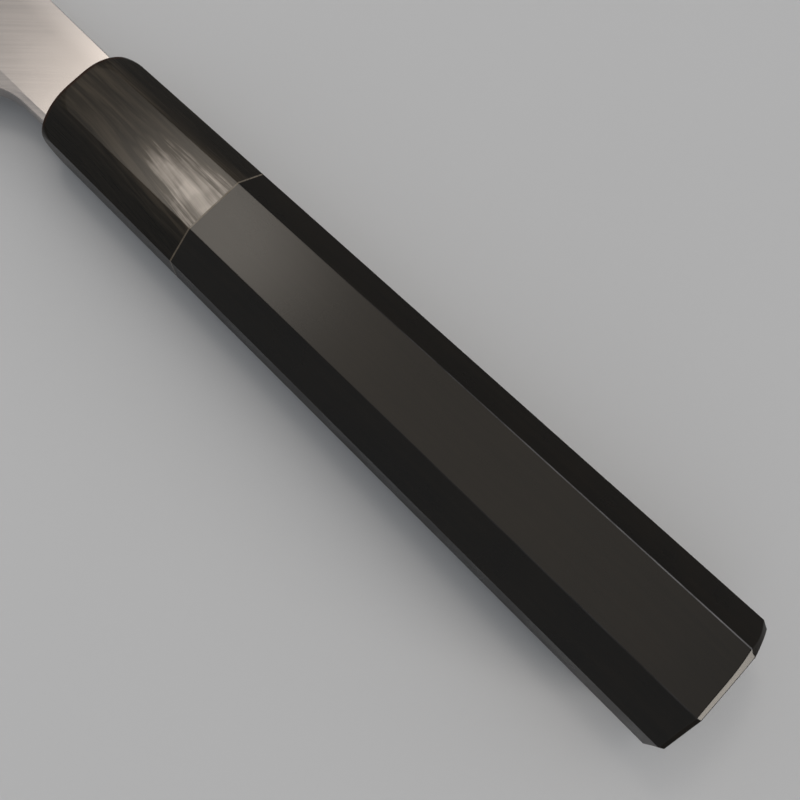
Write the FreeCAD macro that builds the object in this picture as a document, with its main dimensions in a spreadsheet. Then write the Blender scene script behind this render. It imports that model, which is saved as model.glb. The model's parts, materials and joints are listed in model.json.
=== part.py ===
"""Yanagiba knife with an octagonal handle, lying on its side with its hollow-ground face up. Millimetres.

Every piece is drawn in the knife's own frame. The origin is the middle of the ferrule's mouth, X runs along
the handle's axis to the tip, Y towards the cutting edge and Z out of the hollow-ground face. One placement
then lays the whole knife on the table, where the ferrule's mouth and the point of the blade carry it.
"""
import FreeCAD
import Part
import Sketcher

import math
import os

# Driving dimensions: alias, value, what it measures
DIMENSIONS = [
    ("handle_length", 142.3, "ferrule's mouth to butt"),
    ("ferrule_length", 32.2, "horn ferrule along the axis"),
    ("glue_thick", 0.25, "glue film between horn and wood"),
    ("mouth_height", 20.1, "handle's height at the mouth, spine side to edge side"),
    ("butt_height", 26.16, "handle's height at the butt"),
    ("thick_share", 0.86, "handle's thickness over its height"),
    ("facet_share", 0.517, "broad side facet over the handle's height"),
    ("mouth_round", 1.2, "rounding of the ferrule's mouth"),
    ("butt_chamfer", 1.3, "chamfer round the butt"),
    ("stock_width", 32.0, "square stock that the handle's pieces are planed from"),
    ("cutter_overrun", 1.0, "how far the planed cuts run past the stock's ends"),
    ("bore_width", 12.0, "bore through the ferrule and into the grip"),
    ("bore_depth", 113.0, "bore's end behind the mouth"),
    ("drill_point", 3.5, "cone at the end of the bore"),
    ("dowel_width", 11.9, "core dowel"),
    ("dowel_end", 112.0, "dowel's end behind the mouth"),
    ("seal_depth", 1.0, "resin plug in the mouth"),
    ("blade_length", 270.0, "ferrule's mouth to tip"),
    ("tip_offset", 1.5, "tip from the axis, towards the spine"),
    ("spine_offset", 7.87, "spine from the axis at the mouth"),
    ("spine_run", 110.0, "straight part of the spine"),
    ("spine_slope", 0.0157, "rise of the straight spine per millimetre"),
    ("neck_below", 8.25, "neck's lower edge from the axis"),
    ("choil_start", 6.8, "where the choil's arc leaves the neck"),
    ("choil_radius", 11.0, "choil's arc"),
    ("heel_drop", 25.2, "heel's corner from the axis"),
    ("edge_run", 150.0, "end of the edge's straight part"),
    ("edge_slope", 0.0377, "rise of the straight edge per millimetre"),
    ("back_height", 1.9, "hollow-ground face above the axis"),
    ("neck_thick", 4.0, "blade's thickness at the neck"),
    ("tip_thick", 2.0, "blank's thickness at the tip"),
    ("spine_round", 0.6, "rounding of the spine"),
    ("choil_round", 0.8, "rounding of the neck's lower edge and the choil"),
    ("bevel_reach", 20.0, "height of the bevel's cutter"),
    ("bevel_slope", 0.248, "depth of the bevel per millimetre of its height"),
    ("edge_land", 0.08, "thickness left at the cutting edge"),
    ("overrun", 8.0, "how far cutters run past the blade"),
    ("steel_thick", 1.2, "hard steel layer"),
    ("weld_choil", 16.5, "steel layer's end at the choil, from the mouth"),
    ("weld_spine", 32.0, "steel layer's end at the spine, from the mouth"),
    ("wheel_radius", 130.0, "radius of the hollow grind"),
    ("hollow_neck_top", 8.3, "hollow's upper border at the mouth"),
    ("hollow_neck_low", 25.0, "hollow's lower border at the mouth"),
    ("hollow_heel_at", 20.0, "hollow's section at the heel, from the mouth"),
    ("hollow_heel_top", 6.7, "hollow's upper border there"),
    ("hollow_heel_low", 23.5, "hollow's lower border there"),
    ("hollow_mid_at", 150.0, "hollow's middle section"),
    ("hollow_mid_top", -6.0, "hollow's upper border there"),
    ("hollow_mid_low", 18.6, "hollow's lower border there"),
    ("hollow_fore_at", 205.0, "hollow's fore section"),
    ("hollow_fore_top", -5.0, "hollow's upper border there"),
    ("hollow_fore_low", 13.1, "hollow's lower border there"),
    ("hollow_tip_at", 258.0, "hollow's last section"),
    ("hollow_tip_top", -1.3, "hollow's upper border there"),
    ("hollow_tip_low", 1.2, "hollow's lower border there"),
    ("tang_length", 100.0, "tang's end behind the mouth"),
    ("tang_root", 2.0, "start of the tang inside the neck"),
    ("tang_height", 11.0, "tang's height at its root"),
    ("tang_thick", 3.4, "tang's thickness at its root"),
    ("tang_end_height", 5.0, "tang's height at its end"),
    ("tang_end_thick", 2.4, "tang's thickness at its end"),
    ("bedding_gap", 0.5, "resin round the tang"),
    ("bedding_end", 3.0, "resin past the tang's end"),
]

# Two places nearer than this are the same place
TOUCHING = 0.001

doc = FreeCAD.newDocument("yanagiba_knife")


def fill_sheet():
    """The driving dimensions, one row each, with the alias on the value."""
    sheet = doc.addObject("Spreadsheet::Sheet", "dims")
    for row, (alias, value, meaning) in enumerate(DIMENSIONS, start=1):
        sheet.set(f"A{row}", meaning)
        sheet.set(f"B{row}", str(value))
        sheet.setAlias(f"B{row}", alias)
    doc.recompute()
    return sheet


dims = fill_sheet()


# Sketch helpers


def number(text):
    """Present value of an expression on the driving dimensions."""
    return float(dims.evalExpression(text))


def origin_part(body, role):
    return next(item for item in body.Origin.OriginFeatures if item.Role == role)


def new_body(name):
    return doc.addObject("PartDesign::Body", name)


def new_sketch(body, name, plane, offset="0", turn=0):
    """A sketch on an origin plane, turned about its X axis and moved along its normal by an expression."""
    sketch = body.newObject("Sketcher::SketchObject", name)
    sketch.AttachmentSupport = [(origin_part(body, plane), "")]
    sketch.MapMode = "FlatFace"
    turned = FreeCAD.Rotation(FreeCAD.Vector(1, 0, 0), turn)
    sketch.AttachmentOffset = FreeCAD.Placement(FreeCAD.Vector(), turned)
    sketch.setExpression("AttachmentOffset.Base.z", offset)
    return sketch


def bind(sketch, kind, arguments, expression):
    """A dimension of the sketch that follows an expression."""
    index = sketch.addConstraint(Sketcher.Constraint(kind, *arguments, number(expression)))
    sketch.setExpression(f"Constraints[{index}]", expression)


def pin(sketch, geometry, end, place):
    """Hold one end of a line or arc, or a centre, at a place given by two expressions."""
    bind(sketch, "DistanceX", (-1, 1, geometry, end), place[0])
    bind(sketch, "DistanceY", (-1, 1, geometry, end), place[1])


def point(place):
    return FreeCAD.Vector(number(place[0]), number(place[1]), 0)


def polygon(sketch, corners):
    """Closed outline of straight lines with every corner bound to the sheet."""
    points = [point(corner) for corner in corners]
    lines = [sketch.addGeometry(Part.LineSegment(here, there))
             for here, there in zip(points, points[1:] + points[:1])]
    for line, following, corner in zip(lines, lines[1:] + lines[:1], corners):
        sketch.addConstraint(Sketcher.Constraint("Coincident", line, 2, following, 1))
        pin(sketch, line, 1, corner)


def circle(sketch, centre, radius):
    upwards = FreeCAD.Vector(0, 0, 1)
    sketch.addGeometry(Part.Circle(point(centre), upwards, number(radius)))
    pin(sketch, 0, 3, centre)
    bind(sketch, "Radius", (0,), radius)


def tangent_arc(start, slope, end, turn):
    """Arc from start along a slope to end. Turn is 1 for a left turn and -1 for a right turn."""
    along = FreeCAD.Vector(1, slope, 0).normalize()
    inward = FreeCAD.Vector(-along.y, along.x, 0) * turn
    chord = end - start
    radius = chord.Length ** 2 / (2 * chord.dot(inward))
    centre = start + inward * radius
    rim = Part.Circle(centre, FreeCAD.Vector(0, 0, 1), radius)
    angles = [math.atan2(p.y - centre.y, p.x - centre.x) for p in (start, end)]
    return Part.ArcOfCircle(rim, *(angles if turn > 0 else reversed(angles)))


def through_all(body, sketch):
    """Cut the sketch's outline through the body, both ways."""
    pocket = body.newObject("PartDesign::Pocket", f"{sketch.Name}_cut")
    pocket.Profile = sketch
    pocket.Type = "ThroughAll"
    pocket.Midplane = True


def loft(body, kind, sketches, ruled):
    """Solid through the sketches in order, added to the body or cut from it."""
    feature = body.newObject(f"PartDesign::{kind}Loft", f"{sketches[0].Name}_loft")
    feature.Profile = sketches[0]
    feature.Sections = [(sketch, [""]) for sketch in sketches[1:]]
    feature.Ruled = ruled


def middle_of(edge):
    return edge.valueAt((edge.FirstParameter + edge.LastParameter) / 2)


def round_edges(body, name, radius, wanted):
    """Round the edges of the body so far that pass the test."""
    base = body.Tip
    chosen = [f"Edge{index}" for index, edge in enumerate(base.Shape.Edges, start=1) if wanted(edge)]
    fillet = body.newObject("PartDesign::Fillet", name)
    fillet.Base = (base, chosen)
    fillet.setExpression("Radius", radius)
    doc.recompute()


# Handle


GRIP_START = "dims.ferrule_length + dims.glue_thick"

# The four pairs of facets: turn about the axis in degrees, and distance from the axis over half the height
CORNER_SHARE = "(dims.thick_share + dims.facet_share) / sqrt(2)"
FACET_PAIRS = [("broad", 0, "dims.thick_share"), ("narrow", 90, "1"), ("upper", 45, CORNER_SHARE),
               ("lower", 135, CORNER_SHARE)]


def facet_line(share, behind):
    """Distance of a facet from the axis, at a distance behind the mouth."""
    growth = "(dims.butt_height - dims.mouth_height) / dims.handle_length"
    return f"{share} * (dims.mouth_height + ({behind}) * {growth}) / 2"


def cutter_outline(share, front, back, chamfer):
    """Outline of the waste above a facet, from before the stock's front end to past its back end."""
    past_front = f"{front} - dims.cutter_overrun"
    past_back = f"{back} + dims.cutter_overrun"
    line = [(past_front, facet_line(share, past_front))]
    if chamfer:
        shoulder = f"{back} - {chamfer}"
        level = facet_line(share, shoulder)
        line += [(shoulder, level), (past_back, f"{level} - {chamfer} - dims.cutter_overrun")]
    else:
        line += [(past_back, facet_line(share, past_back))]
    return line + [(past_back, "dims.stock_width"), (past_front, "dims.stock_width")]


def plane_facets(body, front, back, chamfer):
    """Plane the stock down to the handle's eight tapering facets, with any chamfer at its back end."""
    for pair, turn, share in FACET_PAIRS:
        sketch = new_sketch(body, f"{body.Name}_{pair}", "XZ_Plane", turn=turn)
        outline = cutter_outline(share, front, back, chamfer)
        for side in ("", "-"):
            polygon(sketch, [(f"-({behind})", f"{side}({distance})") for behind, distance in outline])
        through_all(body, sketch)


def octagon_block(name, front, back, chamfer=None):
    """Tapering octagonal block between two distances behind the mouth, planed from square stock."""
    body = new_body(name)
    sketch = new_sketch(body, f"{name}_stock", "YZ_Plane", f"-({front})")
    half = "dims.stock_width / 2"
    polygon(sketch, [(half, half), (f"-{half}", half), (f"-{half}", f"-{half}"), (half, f"-{half}")])
    pad = body.newObject("PartDesign::Pad", f"{name}_block")
    pad.Profile = sketch
    pad.setExpression("Length", f"({back}) - ({front})")
    pad.Reversed = True
    plane_facets(body, front, back, chamfer)
    doc.recompute()
    return body


def bore_through(body):
    sketch = new_sketch(body, f"{body.Name}_bore", "YZ_Plane")
    circle(sketch, ("0", "0"), "dims.bore_width / 2")
    through_all(body, sketch)


def make_ferrule():
    """Horn collar with a rounded mouth."""
    body = octagon_block("horn_ferrule", "0", "dims.ferrule_length")
    round_edges(body, "rounded_mouth", "dims.mouth_round", lambda edge: middle_of(edge).x > -TOUCHING)
    bore_through(body)
    return body


def make_glue_line():
    """Glue film between the horn and the wood."""
    body = octagon_block("ferrule_glue_line", "dims.ferrule_length", GRIP_START)
    bore_through(body)
    return body


def make_grip():
    """Ebony grip with a chamfered butt and a drilled blind bore."""
    body = octagon_block("handle_body", GRIP_START, "dims.handle_length", "dims.butt_chamfer")
    bore = new_sketch(body, "blind_bore", "XZ_Plane")
    bore_radius = "dims.bore_width / 2"
    polygon(bore, [("0", "0"), ("0", bore_radius), ("-dims.bore_depth", bore_radius),
                   ("-dims.bore_depth - dims.drill_point", "0")])
    groove = body.newObject("PartDesign::Groove", "drilled_bore")
    groove.Profile = bore
    groove.ReferenceAxis = (origin_part(body, "X_Axis"), [""])
    groove.Angle = 360
    return body


# Blade


SPINE_START = ("0", "-dims.spine_offset")
SPINE_END = ("dims.spine_run", "-dims.spine_offset - dims.spine_run * dims.spine_slope")
TIP = ("dims.blade_length", "-dims.tip_offset")
HEEL = ("dims.choil_start + dims.choil_radius", "dims.heel_drop")


def on_straight_edge(distance):
    """Place on the cutting edge's straight line, at a distance from the mouth."""
    return (distance, f"dims.heel_drop - (({distance}) - ({HEEL[0]})) * dims.edge_slope")


EDGE_END = on_straight_edge("dims.edge_run")


def blade_outline(body):
    """Side view of the blade: spine, tip, edge, heel, choil and neck."""
    sketch = new_sketch(body, "outline", "XY_Plane", "dims.back_height - dims.neck_thick")
    choil_out = ("dims.choil_start", "dims.neck_below")
    choil_in = (HEEL[0], "dims.neck_below + dims.choil_radius")
    neck_corner = ("0", "dims.neck_below")
    tip = point(TIP)
    sketch.addGeometry([
        Part.LineSegment(point(SPINE_START), point(SPINE_END)),
        tangent_arc(point(SPINE_END), -number("dims.spine_slope"), tip, 1),
        tangent_arc(point(EDGE_END), -number("dims.edge_slope"), tip, -1),
        Part.LineSegment(point(EDGE_END), point(HEEL)),
        Part.LineSegment(point(HEEL), point(choil_in)),
        tangent_arc(point(choil_out), 0, point(choil_in), 1),
        Part.LineSegment(point(choil_out), point(neck_corner)),
        Part.LineSegment(point(neck_corner), point(SPINE_START)),
    ])
    spine, spine_arc, edge_arc, edge, heel, choil, neck, mouth = range(8)
    joints = [("Tangent", spine, 2, spine_arc, 1), ("Coincident", spine_arc, 2, edge_arc, 1),
              ("Tangent", edge_arc, 2, edge, 1), ("Coincident", edge, 2, heel, 1),
              ("Tangent", heel, 2, choil, 2), ("Tangent", choil, 1, neck, 1),
              ("Coincident", neck, 2, mouth, 1), ("Coincident", mouth, 2, spine, 1),
              ("Vertical", heel), ("Horizontal", neck)]
    for joint in joints:
        sketch.addConstraint(Sketcher.Constraint(*joint))
    pin(sketch, spine, 1, SPINE_START)
    pin(sketch, spine, 2, SPINE_END)
    pin(sketch, spine_arc, 2, TIP)
    pin(sketch, edge, 1, EDGE_END)
    pin(sketch, edge, 2, HEEL)
    pin(sketch, neck, 2, neck_corner)
    bind(sketch, "Radius", (choil,), "dims.choil_radius")
    return sketch


def taper_blade(body):
    """Thin the blank from the neck to the tip on the bevelled side."""
    sketch = new_sketch(body, "taper", "XZ_Plane")
    past_tip = "dims.blade_length + dims.overrun"
    under = "dims.back_height - dims.neck_thick"
    thinned = f"({past_tip}) * (dims.neck_thick - dims.tip_thick) / dims.blade_length"
    polygon(sketch, [("0", under), (past_tip, under), (past_tip, f"{under} + {thinned}")])
    through_all(body, sketch)


def lies_flat(edge):
    """True for an edge along one of the blade's two faces, false for one across its thickness."""
    box = edge.BoundBox
    return box.ZLength < max(box.XLength, box.YLength)


def ease_spine(body):
    def on_spine(edge):
        return lies_flat(edge) and middle_of(edge).y < 0

    round_edges(body, "eased_spine", "dims.spine_round", on_spine)


def ease_choil(body):
    """Round the neck's lower edges and those of the choil."""
    heel_at = number(HEEL[0])
    neck_low = number("dims.neck_below")

    def on_choil(edge):
        middle = middle_of(edge)
        return lies_flat(edge) and middle.y > neck_low - TOUCHING and middle.x < heel_at - TOUCHING

    round_edges(body, "eased_choil", "dims.choil_round", on_choil)


def bevel_edge(body):
    """Grind the single bevel: a wedge swept along the cutting edge, from before the heel to past the tip."""
    start = on_straight_edge("dims.tang_root")
    path = new_sketch(body, "bevel_path", "XY_Plane", "dims.back_height")
    arc = tangent_arc(point(EDGE_END), -number("dims.edge_slope"), point(TIP), -1)
    past_tip = "dims.blade_length + dims.overrun"
    rim = arc.Circle
    reach = number(past_tip) - rim.Center.x
    past_angle = math.acos(reach / rim.Radius)
    path.addGeometry([
        Part.LineSegment(point(start), point(EDGE_END)),
        Part.ArcOfCircle(rim, past_angle, arc.LastParameter),
    ])
    path.addGeometry(Part.Point(point(TIP)), True)
    line, sweep, tip = range(3)
    path.addConstraint(Sketcher.Constraint("Tangent", line, 2, sweep, 2))
    path.addConstraint(Sketcher.Constraint("PointOnObject", tip, 1, sweep))
    pin(path, line, 1, start)
    pin(path, line, 2, EDGE_END)
    pin(path, tip, 1, TIP)
    bind(path, "DistanceX", (-1, 1, sweep, 1), past_tip)

    wedge = new_sketch(body, "bevel_wedge", "YZ_Plane", start[0])
    edge_level = "dims.back_height - dims.edge_land"
    under = f"{edge_level} - dims.bevel_reach * dims.bevel_slope"
    outside = f"{start[1]} + dims.overrun"
    polygon(wedge, [(start[1], edge_level), (f"{start[1]} - dims.bevel_reach", under), (outside, under),
                    (outside, edge_level)])
    cut = body.newObject("PartDesign::SubtractivePipe", "bevel")
    cut.Profile = wedge
    cut.Spine = (path, ["Edge1", "Edge2"])
    cut.Mode = "Binormal"
    cut.Binormal = FreeCAD.Vector(0, 0, 1)


def hollow_section(body, name, at, top, low):
    """Section of the grinding wheel that meets the back in two borders, top and low."""
    sketch = new_sketch(body, name, "YZ_Plane", at)
    half = f"(({low}) - ({top})) / 2"
    rise = f"sqrt(dims.wheel_radius * dims.wheel_radius - {half} * {half})"
    circle(sketch, (f"(({low}) + ({top})) / 2", f"dims.back_height + {rise}"), "dims.wheel_radius")
    return sketch


def hollow_back(body):
    """Grind the long hollow into the back, from the neck to just short of the tip."""
    sections = [hollow_section(body, "hollow_neck", "0", "dims.hollow_neck_top", "dims.hollow_neck_low")]
    for station in ("heel", "mid", "fore", "tip"):
        cells = [f"dims.hollow_{station}_{side}" for side in ("at", "top", "low")]
        sections.append(hollow_section(body, f"hollow_{station}", *cells))
    loft(body, "Subtractive", sections, False)


def tang_section(body, name, at, height, thick):
    """Rectangle across the tang, in the middle of the neck's thickness."""
    sketch = new_sketch(body, name, "YZ_Plane", at)
    middle = "dims.back_height - dims.neck_thick / 2"
    sides = [f"({height}) / 2", f"-({height}) / 2"]
    faces = [f"{middle} + ({thick}) / 2", f"{middle} - ({thick}) / 2"]
    polygon(sketch, [(sides[0], faces[0]), (sides[1], faces[0]), (sides[1], faces[1]), (sides[0], faces[1])])
    return sketch


def tang_loft(body, name, kind, front, end, gap):
    """Tapering bar on the tang's lines, wider all round by a gap."""
    grow = f"2 * ({gap})"
    sections = [
        tang_section(body, f"{name}_front", front, f"dims.tang_height + {grow}", f"dims.tang_thick + {grow}"),
        tang_section(body, f"{name}_end", end, f"dims.tang_end_height + {grow}",
                     f"dims.tang_end_thick + {grow}"),
    ]
    loft(body, kind, sections, True)


def make_blade_blank():
    """Whole blade with neck and tang, before it is divided into its two layers."""
    body = new_body("blade_blank")
    pad = body.newObject("PartDesign::Pad", "blank")
    pad.Profile = blade_outline(body)
    pad.setExpression("Length", "dims.neck_thick")
    taper_blade(body)
    doc.recompute()
    ease_spine(body)
    ease_choil(body)
    bevel_edge(body)
    hollow_back(body)
    tang_loft(body, "tang", "Additive", "dims.tang_root", "-dims.tang_length", "0")
    doc.recompute()
    return body


def make_steel_zone():
    """Space of the hard steel layer: the back of the blade, ahead of a slanted weld line."""
    body = new_body("steel_zone")
    sketch = new_sketch(body, "weld_line", "XY_Plane", "dims.back_height - dims.steel_thick")
    past_tip = "dims.blade_length + dims.overrun"
    below = "dims.heel_drop + dims.overrun"
    above = "-dims.spine_offset - dims.overrun"
    lean = "(dims.weld_spine - dims.weld_choil) / (dims.heel_drop + dims.spine_offset)"
    corners = [(f"dims.weld_choil - dims.overrun * {lean}", below),
               (f"dims.weld_spine + dims.overrun * {lean}", above), (past_tip, above), (past_tip, below)]
    polygon(sketch, corners)
    pad = body.newObject("PartDesign::Pad", "steel_layer")
    pad.Profile = sketch
    pad.setExpression("Length", "dims.steel_thick + dims.overrun")
    doc.recompute()
    return body


def boolean(kind, label, base, tool):
    feature = doc.addObject(f"Part::{kind}", label)
    feature.Base = base
    feature.Tool = tool
    feature.Label = label
    return feature


# Inside the handle


def make_dowel():
    """Wooden dowel with a tapering slot for the tang and its bedding."""
    body = new_body("core_dowel")
    sketch = new_sketch(body, "dowel_section", "YZ_Plane", "-dims.dowel_end")
    circle(sketch, ("0", "0"), "dims.dowel_width / 2")
    pad = body.newObject("PartDesign::Pad", "dowel")
    pad.Profile = sketch
    pad.setExpression("Length", "dims.dowel_end - dims.seal_depth")
    tang_loft(body, "slot", "Subtractive", "dims.tang_root", BEDDING_BACK, "dims.bedding_gap")
    return body


BEDDING_BACK = "-dims.tang_length - dims.bedding_end"


def make_bedding(blade):
    """Resin that fills the dowel's slot round the tang."""
    body = new_body("slot_filling")
    tang_loft(body, "filling", "Additive", "dims.tang_root", BEDDING_BACK, "dims.bedding_gap")
    mouth = new_sketch(body, "filling_mouth", "XZ_Plane")
    wide = "dims.bore_width"
    polygon(mouth, [("-dims.seal_depth", wide), ("-dims.seal_depth", f"-{wide}"), (wide, f"-{wide}"),
                    (wide, wide)])
    through_all(body, mouth)
    doc.recompute()
    return boolean("Cut", "tang_bedding", body, blade)


def make_seal(blade):
    """Resin plug that closes the bore round the root of the tang."""
    body = new_body("mouth_plug")
    sketch = new_sketch(body, "plug_section", "YZ_Plane", "-dims.seal_depth")
    circle(sketch, ("0", "0"), "dims.bore_width / 2")
    pad = body.newObject("PartDesign::Pad", "plug")
    pad.Profile = sketch
    pad.setExpression("Length", "dims.seal_depth")
    doc.recompute()
    return boolean("Cut", "mouth_seal", body, blade)


# Lying on the table


# Fineness of the points that find where the knife touches the table
CONTACT_FINENESS = 0.02


def surface_points(piece):
    return piece.Shape.tessellate(CONTACT_FINENESS)[0]


def lowest(points, pitch):
    """Lowest level of the points after a turn about Y by an angle in radians."""
    return min(p.z * math.cos(pitch) - p.x * math.sin(pitch) for p in points)


def resting_pitch(blade, ferrule):
    """Angle in radians at which the blade's point and the ferrule's mouth touch the same level."""
    low, high = 0.0, 0.1
    for _ in range(40):
        pitch = (low + high) / 2
        if lowest(blade, pitch) > lowest(ferrule, pitch):
            low = pitch
        else:
            high = pitch
    return pitch


def lay_down(pieces, pitch):
    """Give every piece the one placement that rests the knife on the table, centred on the origin."""
    turn = FreeCAD.Rotation(FreeCAD.Vector(0, 1, 0), math.degrees(pitch))
    points = [turn.multVec(p) for piece in pieces for p in surface_points(piece)]
    middle = [(min(p[axis] for p in points) + max(p[axis] for p in points)) / 2 for axis in (0, 1)]
    table = min(p.z for p in points)
    shift = FreeCAD.Vector(-middle[0], -middle[1], -table)
    for piece in pieces:
        piece.Placement = FreeCAD.Placement(shift, turn)
    doc.recompute()
    print(f"pitch {math.degrees(pitch):.4f} degrees, knife's origin at {shift}")


CUTTING = ("PartDesign::Pocket", "PartDesign::Groove", "PartDesign::SubtractiveLoft",
           "PartDesign::SubtractivePipe")

# A cut that takes away less than this, in cubic millimetres, has missed its piece
LEAST_CUT = 0.5


def check_document(pieces):
    """Stop if a feature failed, a cut took nothing away or a piece has no valid solid."""
    for item in doc.Objects:
        if "Invalid" in item.State or "Error" in item.State:
            raise RuntimeError(f"{item.Label} failed: {item.State}")
        if item.TypeId in CUTTING and item.BaseFeature.Shape.Volume - item.Shape.Volume < LEAST_CUT:
            raise RuntimeError(f"{item.Label} cut nothing")
    for piece in pieces:
        if piece.Shape.isNull() or not piece.Shape.isValid():
            raise RuntimeError(f"{piece.Label} has no valid shape")


def main():
    blank = make_blade_blank()
    zone = make_steel_zone()
    blade = boolean("Cut", "blade_body", blank, zone)
    steel = boolean("Common", "edge_steel", blank, zone)
    ferrule = make_ferrule()
    pieces = [blade, steel, ferrule, make_glue_line(), make_grip(), make_dowel(), make_bedding(blank),
              make_seal(blank)]
    doc.recompute()
    lay_down(pieces, resting_pitch(surface_points(blade), surface_points(ferrule)))
    check_document(pieces)
    os.makedirs("parts", exist_ok=True)
    for piece in pieces:
        print(f"{piece.Label}: {len(piece.Shape.Solids)} solid, {piece.Shape.Volume:.1f} cubic mm")
        piece.Shape.exportStep(f"parts/{piece.Label}.step")


main()
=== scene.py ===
import json
import math

import bpy
from mathutils import Matrix, Vector


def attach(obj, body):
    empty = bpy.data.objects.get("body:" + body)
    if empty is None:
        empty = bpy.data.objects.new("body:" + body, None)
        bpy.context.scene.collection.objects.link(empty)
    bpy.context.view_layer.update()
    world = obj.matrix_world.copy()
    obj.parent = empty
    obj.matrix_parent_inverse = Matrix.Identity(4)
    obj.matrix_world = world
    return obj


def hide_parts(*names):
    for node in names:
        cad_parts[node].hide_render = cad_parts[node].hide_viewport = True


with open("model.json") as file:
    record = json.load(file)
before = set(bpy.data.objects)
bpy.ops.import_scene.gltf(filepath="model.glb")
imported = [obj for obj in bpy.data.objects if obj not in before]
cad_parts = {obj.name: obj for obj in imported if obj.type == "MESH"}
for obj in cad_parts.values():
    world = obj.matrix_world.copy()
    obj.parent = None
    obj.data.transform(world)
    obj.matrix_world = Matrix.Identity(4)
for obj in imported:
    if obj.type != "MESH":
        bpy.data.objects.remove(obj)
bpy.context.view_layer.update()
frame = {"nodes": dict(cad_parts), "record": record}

bl_info = {
    "name": "Yanagiba knife",
    "version": (1, 0, 0),
    "blender": (4, 5, 0),
    "location": "3D View > Sidebar > Knife",
    "description": "Dresses the solids of a yanagiba knife with an octagonal handle",
    "category": "Add Mesh",
}

# Two places nearer than this, in metres, are the same place
TOUCHING = 1e-6

MILLIMETRES = 1000


# Properties


def length(name, default, description):
    return bpy.props.FloatProperty(name=name, description=description, default=default, unit="LENGTH")


def share(name, default, description):
    return bpy.props.FloatProperty(name=name, description=description, default=default, subtype="FACTOR")


def angle(name, degrees, description):
    return bpy.props.FloatProperty(name=name, description=description, default=math.radians(degrees),
                                   subtype="ANGLE")


def colour(name, default, description):
    return bpy.props.FloatVectorProperty(name=name, description=description, default=default,
                                         subtype="COLOR", size=3, min=0, max=1)


def strength(name, default, description):
    return bpy.props.FloatProperty(name=name, description=description, default=default, min=0)


class HandleSizes(bpy.types.PropertyGroup):
    """Sizes of the ferrule, the glue line and the grip."""
    handle_length: length("Length", 0.1423, "Ferrule's mouth to butt")
    ferrule_length: length("Ferrule", 0.0322, "Horn ferrule along the axis")
    glue_thick: length("Glue line", 0.00025, "Glue film between horn and wood")
    mouth_height: length("Mouth height", 0.0201, "Handle's height at the mouth, spine side to edge side")
    butt_height: length("Butt height", 0.02616, "Handle's height at the butt")
    thick_share: share("Thickness", 0.86, "Handle's thickness over its height")
    facet_share: share("Side facet", 0.517, "Broad side facet over the handle's height")
    ridge_round: length("Ridges", 0.0003, "Rounding of the ridges between the facets")
    mouth_round: length("Mouth", 0.0003, "Rounding of the ferrule's mouth")
    mouth_corner: length("Mouth corners", 0.0081, "Rounding of the ridges where they reach the mouth")
    mouth_blend: length("Mouth blend", 0.004, "Stretch in which the ridges sharpen behind the mouth")
    mouth_lean: length("Mouth lean", 0.0009, "How far the mouth's rim lies back on the spine's side")
    butt_chamfer: length("Butt chamfer", 0.001, "Length of the butt's chamfer at the ridges")
    butt_crown: length("Butt crown", 0.0008, "Length of the butt's chamfer in the middle of a facet")
    butt_skew: share("Butt skew", 0.28, "How much longer the butt's chamfer is on the spine's side")
    butt_tilt: angle("Butt tilt", 30, "Angle between the butt's chamfer and the facets")
    butt_round: length("Butt rim", 0.00035, "Rounding from the butt's chamfer to the end face")
    shoulder_round: length("Butt shoulder", 0.00012, "Rounding from the facets to the butt's chamfer")
    bore_width: length("Bore", 0.012, "Bore through the ferrule and into the grip")
    bore_depth: length("Bore depth", 0.113, "Bore's end behind the mouth")
    bore_point: length("Bore point", 0.0035, "Cone at the bore's end")


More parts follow.
